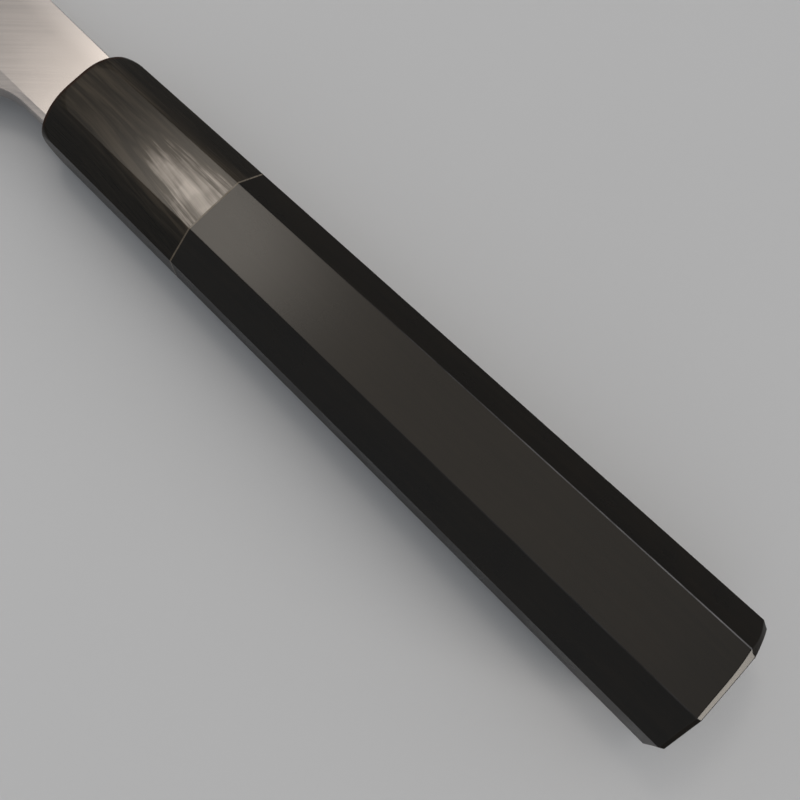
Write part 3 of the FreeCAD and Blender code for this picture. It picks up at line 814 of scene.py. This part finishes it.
def facet_reach(sizes, behind, facet):
    """Distance of a facet from the axis: facet 0 faces the edge's side, facet 2 the hollow-ground side."""
    height = sizes.mouth_height + (sizes.butt_height - sizes.mouth_height) * behind / sizes.handle_length
    half = height / 2
    if facet % 2:
        return half * (sizes.thick_share + sizes.facet_share) / math.sqrt(2)
    return half * sizes.thick_share if facet % 4 else half


def ridge_centre(sizes, behind, facet, depth):
    """Where the planes of a facet and the next one meet, both set in by a depth."""
    here = facet_reach(sizes, behind, facet) - depth
    there = facet_reach(sizes, behind, facet + 1) - depth
    slide = (there - here * math.cos(TURN)) / math.sin(TURN)
    return facet_normal(facet) * here + facet_normal(facet + 2) * slide


def facet_ring(sizes, spot, ridge):
    """Loop round the handle with its ridges rounded.

    For a facet and a place across it, spot gives the distance behind the mouth and the depth under it.
    """
    ring = []
    for facet, across, turn in section_places():
        behind, depth = spot(facet, across)
        inner = max(ridge, depth)
        out = facet_normal(facet + turn) * (inner - depth)
        end = ridge_centre(sizes, behind, facet, inner)
        start = ridge_centre(sizes, behind, facet - 1, inner)
        ring.append(Vector((-behind, *(start.lerp(end, (across + 1) / 2) + out))))
    return ring


def bore_ring(behind, radius):
    """Circle round the axis, with a point for each place of a facet ring."""
    ring = []
    for facet, across, turn in section_places():
        turns = facet + BORE_FLAT * across / 2 + (1 - BORE_FLAT) * turn
        ring.append(Vector((-behind, *(facet_normal(turns) * radius))))
    return ring


def plain_ring(sizes, behind):
    return facet_ring(sizes, lambda facet, across: (behind, 0.0), sizes.ridge_round)


def mouth_rings(sizes):
    """Rings from the ferrule's front face, round its mouth and over the stretch where the ridges sharpen."""
    profile = []
    for turn in even(0, math.pi / 2, MOUTH_STEPS):
        profile.append((sizes.mouth_round * (1 - math.cos(turn)), sizes.mouth_round * (1 - math.sin(turn))))
    profile += [(behind, 0.0) for behind in even(sizes.mouth_round, sizes.mouth_blend, BLEND_STEPS)]
    rings = []
    for behind, depth in profile:
        nearness = 1 - behind / sizes.mouth_blend
        ridge = sizes.ridge_round + (sizes.mouth_corner - sizes.ridge_round) * nearness ** 2
        ring = facet_ring(sizes, lambda facet, across, spot=(behind, depth): spot, ridge)
        for point in ring:
            towards_spine = max(-2 * point.y / sizes.mouth_height, 0)
            point.x -= sizes.mouth_lean * nearness * towards_spine ** 2
        rings.append(ring)
    return rings


def butt_length(sizes, facet, across):
    """Length of the butt's chamfer: it is longest at the ridges, and longer on the spine's side."""
    towards_edge = facet_normal(facet + math.copysign(0.5, across)).x
    skew = sizes.butt_skew * min(max(towards_edge / SKEWED_FROM, -1), 1)
    return sizes.butt_crown + (sizes.butt_chamfer * (1 - skew) - sizes.butt_crown) * across ** 2


def butt_profile(sizes, facet, across):
    """Points of the butt's rim from a facet to the end face: distance behind the mouth, and depth."""
    tilt = sizes.butt_tilt
    slope = math.tan(tilt)
    long = butt_length(sizes, facet, across)
    end = sizes.handle_length - sizes.butt_round * (1 - math.sin(tilt))
    shoulder = sizes.shoulder_round
    points = []
    for part in (*even(0, 1, SHOULDER_STEPS), 1):
        points.append((end - long + shoulder * (2 * part - 1), slope * shoulder * part ** 2))
    for lean in (*even(tilt, math.pi / 2, RIM_STEPS), math.pi / 2):
        points.append((end + sizes.butt_round * (math.sin(lean) - math.sin(tilt)),
                       slope * long + sizes.butt_round * (math.cos(tilt) - math.cos(lean))))
    return points


def butt_rings(sizes):
    """Rings from the facets over the butt's chamfer to the rim of the end face."""
    rings = []
    for step in range(len(butt_profile(sizes, 0, 0))):
        def spot(facet, across, step=step):
            return butt_profile(sizes, facet, across)[step]

        rings.append(facet_ring(sizes, spot, sizes.ridge_round))
    return rings


def model_handle_piece(scene, name, rings, make_material):
    """A piece of the handle in its place, with its roundings shaded smooth and its facets kept flat."""
    place = knife_place(scene.knife_blade)
    piece = wrap_sheet(name, rings)
    close_sheet()
    lay_down(piece, place)
    bpy.ops.object.shade_smooth_by_angle(angle=SMOOTH_BELOW)
    flat_facets = piece.modifiers.new("flat_facets", "WEIGHTED_NORMAL")
    flat_facets.keep_sharp = True
    flat_facets.weight = FACET_WEIGHT
    bpy.ops.object.modifier_apply(modifier=flat_facets.name)
    piece.data.materials.append(make_material(scene, place))
    return piece


class KNIFE_OT_ferrule(bpy.types.Operator):
    """Model the marbled horn ferrule"""
    bl_idname = "knife.ferrule"
    bl_label = "Horn ferrule"

    def execute(self, context):
        sizes = context.scene.knife_handle
        back = sizes.ferrule_length
        bore = sizes.bore_width / 2
        rings = [bore_ring(back, bore), bore_ring(0, bore), *mouth_rings(sizes),
                 plain_ring(sizes, sizes.mouth_blend), plain_ring(sizes, back), bore_ring(back, bore)]
        ferrule = model_handle_piece(context.scene, "ferrule", rings, horn)
        hand_over(ferrule, "horn_ferrule")
        return {"FINISHED"}


class KNIFE_OT_glue_line(bpy.types.Operator):
    """Model the glue film between the horn and the wood"""
    bl_idname = "knife.glue_line"
    bl_label = "Glue line"

    def execute(self, context):
        sizes = context.scene.knife_handle
        front = sizes.ferrule_length
        back = front + sizes.glue_thick
        bore = sizes.bore_width / 2
        rings = [bore_ring(back, bore), bore_ring(front, bore), plain_ring(sizes, front),
                 plain_ring(sizes, back), bore_ring(back, bore)]
        film = model_handle_piece(context.scene, "glue_line", rings, glue)
        hand_over(film, "ferrule_glue_line")
        return {"FINISHED"}


class KNIFE_OT_grip(bpy.types.Operator):
    """Model the ebony grip with its eased butt"""
    bl_idname = "knife.grip"
    bl_label = "Ebony grip"

    def execute(self, context):
        sizes = context.scene.knife_handle
        front = sizes.ferrule_length + sizes.glue_thick
        bore = sizes.bore_width / 2
        rings = [bore_ring(sizes.bore_depth + sizes.bore_point, 0), bore_ring(sizes.bore_depth, bore),
                 bore_ring(front, bore), plain_ring(sizes, front), *butt_rings(sizes),
                 bore_ring(sizes.handle_length, bore), bore_ring(sizes.handle_length, 0)]
        grip = model_handle_piece(context.scene, "grip", rings, ebony)
        hand_over(grip, "handle_body")
        return {"FINISHED"}


# Blade


BISECTIONS = 40


class Arc:
    """Arc that leaves a point along a slope and ends at another point."""

    def __init__(self, start, slope, end):
        along = Vector((1, slope)).normalized()
        chord = end - start
        inward = Vector((-along.y, along.x))
        if chord.dot(inward) < 0:
            inward = -inward
        self.start = start
        self.along = along
        self.radius = chord.length_squared / (2 * chord.dot(inward))
        self.centre = start + inward * self.radius
        self.side = math.copysign(1, inward.y)

    def at(self, x):
        """Point of the arc at a distance from the mouth."""
        rise = math.sqrt(self.radius ** 2 - (x - self.centre.x) ** 2)
        return Vector((x, self.centre.y - self.side * rise))


# Borders of the hollow in the back: distance from the mouth, then the spine's side and the edge's side
HOLLOW = [(0.0, 0.0073, 0.025), (0.0068, 0.007, 0.0245), (0.02, 0.0066, 0.0235), (0.15, -0.006, 0.0186),
          (0.205, -0.005, 0.0131), (0.258, -0.0013, 0.0012), (0.262, -0.0002, -0.0002)]


def smooth_through(knots, x):
    """Smooth curve through knots of x and y, level with the neighbours' chord at each."""
    slopes = []
    for index in range(len(knots)):
        before = knots[max(index - 1, 0)]
        after = knots[min(index + 1, len(knots) - 1)]
        slopes.append((after[1] - before[1]) / (after[0] - before[0]))
    index = max(i for i in range(len(knots) - 1) if i == 0 or knots[i][0] <= x)
    (x0, y0), (x1, y1) = knots[index], knots[index + 1]
    run = x1 - x0
    t = min(max((x - x0) / run, 0), 1)
    ease = t * t * (3 - 2 * t)
    pull = run * (slopes[index] * t * (1 - t) ** 2 - slopes[index + 1] * t * t * (1 - t))
    return y0 + (y1 - y0) * ease + pull


class BladeForm:
    """The blade's outlines and ground faces in the knife's frame, in metres."""

    def __init__(self, sizes):
        self.sizes = sizes
        self.tip = Vector((sizes.blade_length, -sizes.tip_offset))
        self.spine_end = self.straight_spine(sizes.spine_run)
        self.spine_arc = Arc(self.spine_end, -sizes.spine_slope, self.tip)
        self.heel = Vector((sizes.choil_start + sizes.choil_radius, sizes.heel_drop))
        self.edge_end = self.straight_edge(sizes.edge_run)
        self.edge_arc = Arc(self.edge_end, -sizes.edge_slope, self.tip)
        self.choil_centre = Vector((sizes.choil_start, sizes.neck_below + sizes.choil_radius))
        self.weld_level = sizes.back_height - sizes.steel_thick

    def straight_spine(self, x):
        return Vector((x, -self.sizes.spine_offset - x * self.sizes.spine_slope))

    def straight_edge(self, x):
        return Vector((x, self.heel.y - (x - self.heel.x) * self.sizes.edge_slope))

    def spine(self, x):
        """Point on the spine at a distance from the mouth."""
        return self.straight_spine(x) if x < self.spine_end.x else self.spine_arc.at(x)

    def tip_end(self):
        """Distance from the mouth where the blade has narrowed to the width of its tip."""
        near, far = self.edge_end.x, self.tip.x
        for _ in range(BISECTIONS):
            middle = (near + far) / 2
            if self.edge_arc.at(middle).y - self.spine_arc.at(middle).y > self.sizes.tip_width:
                near = middle
            else:
                far = middle
        return far

    def flat(self, p):
        """Level of the flat on the bevelled side."""
        sizes = self.sizes
        thinning = (sizes.neck_thick - sizes.tip_thick) / sizes.blade_length
        return sizes.back_height - sizes.neck_thick + thinning * p.x

    def bevel(self, p):
        """Level of the bevel, carried on past its borders."""
        arc = self.edge_arc
        if (p - arc.start).dot(arc.along) < 0:
            above = (self.straight_edge(p.x).y - p.y) * arc.along.x
        else:
            above = arc.radius - (p - arc.centre).length
        return self.sizes.back_height - self.sizes.edge_land - self.sizes.bevel_slope * above

    def front(self, p):
        return max(self.flat(p), self.bevel(p))

    def hollow_top(self, x):
        return smooth_through([(at, top) for at, top, _ in HOLLOW], x)

    def hollow_low(self, x):
        return smooth_through([(at, low) for at, _, low in HOLLOW], x)

    def back(self, p):
        """Level of the back, with its hollow."""
        top = self.hollow_top(p.x)
        low = self.hollow_low(p.x)
        level = self.sizes.back_height
        if not top < p.y < low:
            return level
        wheel = self.sizes.wheel_radius
        half = (low - top) / 2
        offset = p.y - (low + top) / 2
        return level - math.sqrt(wheel ** 2 - offset ** 2) + math.sqrt(wheel ** 2 - half ** 2)


class Station:
    """A straight line across the blade from the spine to its other side: neck, choil, heel or edge."""

    def __init__(self, form, spine_x, low, rounding):
        self.form = form
        self.start = form.spine(spine_x)
        across = low - self.start
        self.width = across.length
        self.direction = across.normalized() if self.width > TOUCHING else Vector((0, 1))
        self.rounding = rounding

    def at(self, s):
        return self.start + self.direction * s

    def crossing(self, test):
        """Distance from the spine where the test of a point turns from negative to positive."""
        low, high = 0.0, self.width
        if test(self.at(low)) >= 0:
            return low
        if test(self.at(high)) <= 0:
            return high
        for _ in range(BISECTIONS):
            middle = (low + high) / 2
            if test(self.at(middle)) < 0:
                low = middle
            else:
                high = middle
        return high


# Faces of the loop round a section, in order, and their number of strips
BACK_RIM, HOLLOW_FACE, EDGE_RIM, LOW_EASE, LOW_BACK, LOW_WALL, LOW_FRONT = range(7)
EDGE_BEVEL, BEVEL, FLAT, SPINE_FRONT, SPINE_LOW, SPINE_HIGH, SPINE_BACK = range(7, 14)
STRIPS = {BACK_RIM: 8, HOLLOW_FACE: 20, EDGE_RIM: 4, LOW_EASE: 3, LOW_BACK: 5, LOW_WALL: 2, LOW_FRONT: 5,
          EDGE_BEVEL: 6, BEVEL: 10, FLAT: 8, SPINE_FRONT: 5, SPINE_LOW: 2, SPINE_HIGH: 2, SPINE_BACK: 5}

# Faces that meet the next one in a crisp line
CRISP = (BACK_RIM, HOLLOW_FACE, EDGE_RIM, LOW_EASE, LOW_FRONT, BEVEL, FLAT, SPINE_BACK)

# Most that a rounding takes up of the blade's thickness and of its width
THICK_SHARE, WIDTH_SHARE = 0.45, 0.3

# Ground strip along the low edge of the back, over that edge's rounding: where it starts and ends before
# the edge, its depth at its end, and its depth carried on to the edge
EASE_START, EASE_END, EASE_DEPTH, EASE_CARRIED = 1.56, 0.3, 0.026, 0.028


def straight(face, start, end):
    """Points of a straight face from start up to, and without, end."""
    return [start.lerp(end, part) for part in even(0, 1, STRIPS[face])]


def rounded(face, first, corner, last):
    """Points of a rounded corner from first up to, and without, last."""
    points = []
    for part in even(0, 1, STRIPS[face]):
        a = first.lerp(corner, part)
        b = corner.lerp(last, part)
        points.append(a.lerp(b, part))
    return points


def section(station):
    """Loop round the blade at a station, as distances from the spine and levels, and the weld's distance."""
    form = station.form
    width = station.width

    def back(s):
        return Vector((s, form.back(station.at(s))))

    def front(s):
        return Vector((s, form.front(station.at(s))))

    def ground(face, side, start, end):
        return [side(s) for s in even(start, end, STRIPS[face])]

    def fitted(rounding, s):
        return min(rounding, THICK_SHARE * (back(s).y - front(s).y), WIDTH_SHARE * width)

    spine_round = fitted(form.sizes.spine_round, 0)
    low_round = fitted(station.rounding, width)
    first, last = spine_round, width - low_round
    back_last = width - EASE_START * low_round

    def crossing(test):
        return min(max(station.crossing(test), first), last)

    top = min(crossing(lambda p: p.y - form.hollow_top(p.x)), back_last)
    low = min(max(crossing(lambda p: p.y - form.hollow_low(p.x)), top), back_last)
    shinogi = crossing(lambda p: form.bevel(p) - form.flat(p))
    weld = max(crossing(lambda p: form.bevel(p) - form.weld_level), shinogi)

    back_low = back(width) - Vector((0, low_round))
    front_low = front(width) + Vector((0, low_round))
    ease_end = back(width) - low_round * Vector((EASE_END, EASE_DEPTH))
    ease_carried = back(width) - low_round * Vector((0, EASE_CARRIED))
    front_spine = front(0) + Vector((0, spine_round))
    back_spine = back(0) - Vector((0, spine_round))
    weld_spine = Vector((0, min(max(form.weld_level, front_spine.y), back_spine.y)))

    points = ground(BACK_RIM, back, first, top)
    points += ground(HOLLOW_FACE, back, top, low)
    points += ground(EDGE_RIM, back, low, back_last)
    for part in even(0, 1, STRIPS[LOW_EASE]):
        sag = EASE_DEPTH * low_round * (1 - part - (1 - part) ** 3)
        points.append(back(back_last).lerp(ease_end, part) - Vector((0, sag)))
    points += rounded(LOW_BACK, ease_end, ease_carried, back_low)
    points += straight(LOW_WALL, back_low, front_low)
    points += rounded(LOW_FRONT, front_low, front(width), front(last))
    points += ground(EDGE_BEVEL, front, last, weld)
    points += ground(BEVEL, front, weld, shinogi)
    points += ground(FLAT, front, shinogi, first)
    points += rounded(SPINE_FRONT, front(first), front(0), front_spine)
    points += straight(SPINE_LOW, front_spine, weld_spine)
    points += straight(SPINE_HIGH, weld_spine, back_spine)
    points += rounded(SPINE_BACK, back_spine, back(0), back(first))
    return points, weld


# Stations along the neck and the choil's upper and lower part, then to the weld line, the heel and the edge
NECK_STATIONS, UPPER_STATIONS, LOWER_STATIONS = 10, 10, 16
WELD_STATIONS, HEEL_STATIONS, EDGE_STATIONS = 8, 8, 60

# Stations over the curved part of the edge, and how they crowd towards the tip
POINT_STATIONS = 110
POINT_CROWDING = 1.25

# Share of the choil's arc in its upper part, over which the neck's rounding runs out
CHOIL_UPPER = 0.3

# Where the stations from the choil's upper part, from its end and from the heel meet the spine
SPINE_AT_UPPER, SPINE_AT_CHOIL, SPINE_AT_HEEL = 0.012, 0.024, 0.038


def stations(form):
    """Stations from the mouth to the tip, and the number of the one along the weld line."""
    sizes = form.sizes
    neck_start = Vector((0, sizes.neck_below))
    neck_end = Vector((sizes.choil_start, sizes.neck_below))
    choil_end = Vector((form.heel.x, form.choil_centre.y))
    lean = (sizes.weld_spine - sizes.weld_choil) / (sizes.heel_drop + sizes.spine_offset)
    weld_low = Vector((form.heel.x, sizes.heel_drop - (form.heel.x - sizes.weld_choil) / lean))
    heel = form.straight_edge(form.heel.x + sizes.heel_ease)

    def between(start, end):
        return lambda part: start.lerp(end, part)

    def on_choil(start, end):
        def low_at(part):
            turn = (start + (end - start) * part) * math.pi / 2
            return form.choil_centre + sizes.choil_radius * Vector((math.sin(turn), -math.cos(turn)))
        return low_at

    neck, choil, edge = sizes.neck_round, sizes.choil_round, sizes.edge_land
    runs = [(NECK_STATIONS, 0.0, neck_end.x, between(neck_start, neck_end), neck, neck),
            (UPPER_STATIONS, neck_end.x, SPINE_AT_UPPER, on_choil(0, CHOIL_UPPER), neck, choil),
            (LOWER_STATIONS, SPINE_AT_UPPER, SPINE_AT_CHOIL, on_choil(CHOIL_UPPER, 1), choil, choil),
            (WELD_STATIONS, SPINE_AT_CHOIL, sizes.weld_spine, between(choil_end, weld_low), choil, choil),
            (HEEL_STATIONS, sizes.weld_spine, SPINE_AT_HEEL, between(weld_low, heel), choil, edge),
            (EDGE_STATIONS, SPINE_AT_HEEL, sizes.edge_run, between(heel, form.edge_end), edge, edge)]
    made = []
    for count, start, end, low_at, round_start, round_end in runs:
        for part in even(0, 1, count):
            rounding = round_start + (round_end - round_start) * part
            made.append(Station(form, start + (end - start) * part, low_at(part), rounding))
    tip_x = form.tip_end()
    for part in (*even(0, 1, POINT_STATIONS), 1):
        x = sizes.edge_run + (tip_x - sizes.edge_run) * (1 - (1 - part) ** POINT_CROWDING)
        made.append(Station(form, x, form.edge_arc.at(x), edge))
    return made, NECK_STATIONS + UPPER_STATIONS + LOWER_STATIONS + WELD_STATIONS


def keep_below(points, weld, level):
    """Loop of the soft iron under the weld: what lies above is pressed down on to it, over the iron."""
    start = min((point.x for point in points if point.y < level), default=weld)
    return [p if p.y < level else Vector((min(max(p.x, start), weld), level)) for p in points]


def keep_above(points, weld, level):
    """Loop of the hard steel on the weld: what lies below is pressed up on to it."""
    return [p if p.y >= level else Vector((min(p.x, weld), level)) for p in points]


def in_space(station, points):
    return [Vector((*station.at(s), level)) for s, level in points]


def tang_loop(sizes, loop, x, height, thick):
    """The neck's loop pressed into the tang's rectangle."""
    middle = sizes.back_height - sizes.neck_thick / 2

    def into(value, centre, size):
        return min(max(value, centre - size / 2), centre + size / 2)

    return [Vector((x, into(p.y, 0, height), into(p.z, middle, thick))) for p in loop]


def blade_layers(form):
    """Loops of the soft iron from the tang to the tip, and of the hard steel from the weld to the tip."""
    sizes = form.sizes
    lines, weld_number = stations(form)
    iron, steel = [], []
    for number, line in enumerate(lines):
        points, weld = section(line)
        if number <= weld_number:
            iron.append(in_space(line, points))
        if number >= weld_number:
            iron.append(in_space(line, keep_below(points, weld, form.weld_level)))
            steel.append(in_space(line, keep_above(points, weld, form.weld_level)))
    neck = iron[0]
    tang = [tang_loop(sizes, neck, -sizes.tang_length, sizes.tang_end_height, sizes.tang_end_thick),
            tang_loop(sizes, neck, 0, sizes.tang_height, sizes.tang_thick)]
    return tang + iron, steel


def strip_faces():
    """Face name of each strip of the loop, in order."""
    return [face for face, count in STRIPS.items() for _ in range(count)]


def mark_crisp_lines(mesh, faces):
    """Mark the lines after the crisp faces as sharp, with every strip that has collapsed on to one."""
    columns = len(faces) + 1
    following = [*faces[1:], faces[0]]
    crisp = [index + 1 for index, face in enumerate(faces) if face in CRISP and following[index] != face]

    def touching(a, b):
        return (mesh.vertices[a].co - mesh.vertices[b].co).length < TOUCHING

    for edge in mesh.edges:
        a, b = sorted(edge.vertices)
        if b - a == columns:
            shifts = [line - a % columns for line in crisp]
            edge.use_edge_sharp = any(touching(a, a + shift) and touching(b, b + shift) for shift in shifts)


def model_layer(name, loops, place, plain, bevel):
    """One layer of the blade, with crisp lines between its ground faces and a bevel of its own finish."""
    sheet = wrap_sheet(name, loops)
    faces = strip_faces()
    sheet.data.materials.append(plain)
    sheet.data.materials.append(bevel)
    for polygon in sheet.data.polygons:
        polygon.material_index = int(faces[polygon.index % len(faces)] in (EDGE_BEVEL, BEVEL))
    mark_crisp_lines(sheet.data, faces)
    close_sheet()
    lay_down(sheet, place)
    bpy.ops.object.shade_smooth_by_angle(angle=SMOOTH_BELOW, keep_sharp_edges=True)
    return sheet


class KNIFE_OT_blade(bpy.types.Operator):
    """Model the blade's two layers, soft iron and hard steel"""
    bl_idname = "knife.blade"
    bl_label = "Blade"

    def execute(self, context):
        scene = context.scene
        place = knife_place(scene.knife_blade)
        iron_loops, steel_loops = blade_layers(BladeForm(scene.knife_blade))
        bevel = ground_bevel(scene, place)
        iron = model_layer("blade_iron", iron_loops, place, soft_iron(scene, place), bevel)
        hand_over(iron, "blade_body")
        steel = model_layer("blade_steel", steel_loops, place, hard_steel(scene, place), bevel)
        hand_over(steel, "edge_steel")
        return {"FINISHED"}


class KNIFE_OT_core(bpy.types.Operator):
    """Give the pieces inside the handle their finish"""
    bl_idname = "knife.core"
    bl_label = "Core of the handle"

    def execute(self, context):
        finish = context.scene.knife_finish
        place = knife_place(context.scene.knife_blade)
        coats = {"core_dowel": dowel_wood(context.scene, place),
                 "tang_bedding": resin("bedding_resin", finish.resin, place),
                 "mouth_seal": resin("seal_resin", finish.seal, place)}
        for name, material in coats.items():
            slots = frame["nodes"][name].data.materials
            slots.clear()
            slots.append(material)
        return {"FINISHED"}


# Stage


# Camera in the knife's frame: place in metres, then the picture's right, up and backward directions
CAMERA_PLACE = (-0.09775, 0.0372, 0.19383)
CAMERA_RIGHT = (-0.7219, -0.6904, 0.0462)
CAMERA_UP = (0.6824, -0.6993, 0.2126)
CAMERA_BACK = (-0.1144, 0.185, 0.976)
SENSOR_WIDTH = 36.0
LENS = 54.19
CLIP_START = 0.01

# Softbox in the knife's frame: its place, the point that it faces, width and height
LAMP_PLACE = (0.395, -0.215, 1.135)
LAMP_TARGET = (-0.032, 0.0, 0.009)
LAMP_SIZE = (0.17, 0.2)

# Lights in the sky: middle in the knife's frame, and how far they spread, full and in all, in degrees
CEILING = ((0.1, -0.18, 0.97), 5, 28)
RIM = ((-0.9415, -0.1945, 0.2763), 5, 16)
WARM = (1.0, 0.925, 0.83)
COOL = (0.94, 0.97, 1.0)

# Floor: width in metres, its unevenness and how much darker that makes it, and its matt finish
FLOOR_SIZE = 60
FLOOR_NOISE = {"Scale": 9, "Detail": 2}
FLOOR_SHADE = 0.985
FLOOR_MATT = {"Roughness": 0.9, "Specular IOR Level": 0.2}


def facing(start, target):
    """Turned so that a light or camera at start looks at the target."""
    away = Vector(start) - Vector(target)
    return Matrix.Translation(start) @ away.to_track_quat("Z", "Y").to_matrix().to_4x4()


def softbox(place, power):
    """Small soft lamp overhead."""
    deselect()
    bpy.ops.object.light_add(type="AREA")
    lamp = bpy.context.object
    lamp.name = "lamp_softbox"
    lamp.matrix_world = place @ facing(LAMP_PLACE, LAMP_TARGET)
    lamp.visible_camera = False
    lamp.data.shape = "RECTANGLE"
    lamp.data.size, lamp.data.size_y = LAMP_SIZE
    lamp.data.energy = power
    lamp.data.color = WARM


def sky_patch(paint, place, middle, full, reach):
    """Soft round patch of the sky, from 0 outside its reach to 1 in its full part."""
    ways = {0: paint.node("ShaderNodeTexCoord").outputs["Generated"],
            1: (place.to_3x3() @ Vector(middle)).normalized()}
    nearness = paint.node("ShaderNodeVectorMath", ways, operation="DOT_PRODUCT").outputs["Value"]
    return paint.fade(nearness, math.cos(math.radians(reach)), math.cos(math.radians(full)))


def studio_world(settings, place):
    """Soft light from all round, brighter and warmer overhead and low behind the butt."""
    world = bpy.data.worlds.new("studio")
    world.use_nodes = True
    paint = Paint(world.node_tree)
    overhead = sky_patch(paint, place, *CEILING)
    unseen = paint.minus(1.0, paint.node("ShaderNodeLightPath").outputs["Is Camera Ray"])
    behind = paint.times(sky_patch(paint, place, *RIM), unseen)
    light = paint.plus(paint.weighted((overhead, settings.ceiling), (behind, settings.rim)), settings.sky)
    tint = paint.mix(paint.larger(overhead, behind), COOL, WARM)
    paint.plug(paint.tree.nodes["Background"], {"Color": tint, "Strength": light})
    return world


def pale_floor(rgb):
    """Plain matt floor with a faint unevenness."""
    material = bpy.data.materials.new("pale_floor")
    material.use_nodes = True
    paint = Paint(material.node_tree)
    place = paint.node("ShaderNodeTexCoord").outputs["Object"]
    cloud = paint.node("ShaderNodeTexNoise", {"Vector": place, **FLOOR_NOISE}).outputs["Fac"]
    base = paint.ramp(cloud, WIDE, shade(rgb, FLOOR_SHADE), rgb)
    paint.plug(paint.tree.nodes["Principled BSDF"], {"Base Color": base, **FLOOR_MATT})
    return material


class KNIFE_OT_stage(bpy.types.Operator):
    """Set the floor, the light and the camera"""
    bl_idname = "knife.stage"
    bl_label = "Stage"

    def execute(self, context):
        settings = context.scene.knife_stage
        place = knife_place(context.scene.knife_blade)
        deselect()
        bpy.ops.mesh.primitive_plane_add(size=FLOOR_SIZE, location=(0, 0, 0))
        floor = context.object
        floor.name = "floor"
        floor.data.materials.append(pale_floor(settings.floor))
        softbox(place, settings.lamp)
        context.scene.world = studio_world(settings, place)
        bpy.ops.object.camera_add()
        camera = context.object
        axes = Matrix((CAMERA_RIGHT, CAMERA_UP, CAMERA_BACK)).transposed()
        camera.matrix_world = place @ Matrix.Translation(CAMERA_PLACE) @ axes.to_4x4()
        camera.data.sensor_width = SENSOR_WIDTH
        camera.data.lens = LENS
        camera.data.clip_start = CLIP_START
        context.scene.camera = camera
        context.scene.view_settings.view_transform = "Standard"
        return {"FINISHED"}


class KNIFE_PT_sidebar(bpy.types.Panel):
    """Lists the knife's pieces and their sizes"""
    bl_idname = "KNIFE_PT_sidebar"
    bl_label = "Yanagiba knife"
    bl_space_type = "VIEW_3D"
    bl_region_type = "UI"
    bl_category = "Knife"

    def draw(self, context):
        layout = self.layout
        for operator in OPERATORS:
            layout.operator(operator.bl_idname)
        for name in SETTINGS:
            group = getattr(context.scene, name)
            box = layout.box()
            for key in group.__annotations__:
                box.prop(group, key)


SETTINGS = {"knife_handle": HandleSizes, "knife_blade": BladeSizes, "knife_finish": Finishes,
            "knife_stage": StageSettings}
OPERATORS = (KNIFE_OT_ferrule, KNIFE_OT_glue_line, KNIFE_OT_grip, KNIFE_OT_blade, KNIFE_OT_core,
             KNIFE_OT_stage)


def register():
    for made in (*SETTINGS.values(), *OPERATORS, KNIFE_PT_sidebar):
        bpy.utils.register_class(made)
    for name, made in SETTINGS.items():
        setattr(bpy.types.Scene, name, bpy.props.PointerProperty(type=made))


def unregister():
    for name in SETTINGS:
        delattr(bpy.types.Scene, name)
    for made in (KNIFE_PT_sidebar, *reversed(OPERATORS), *reversed(SETTINGS.values())):
        bpy.utils.unregister_class(made)


def main():
    register()
    bpy.ops.knife.ferrule()
    bpy.ops.knife.glue_line()
    bpy.ops.knife.grip()
    bpy.ops.knife.blade()
    bpy.ops.knife.core()
    bpy.ops.knife.stage()


if __name__ == "__main__":
    main()
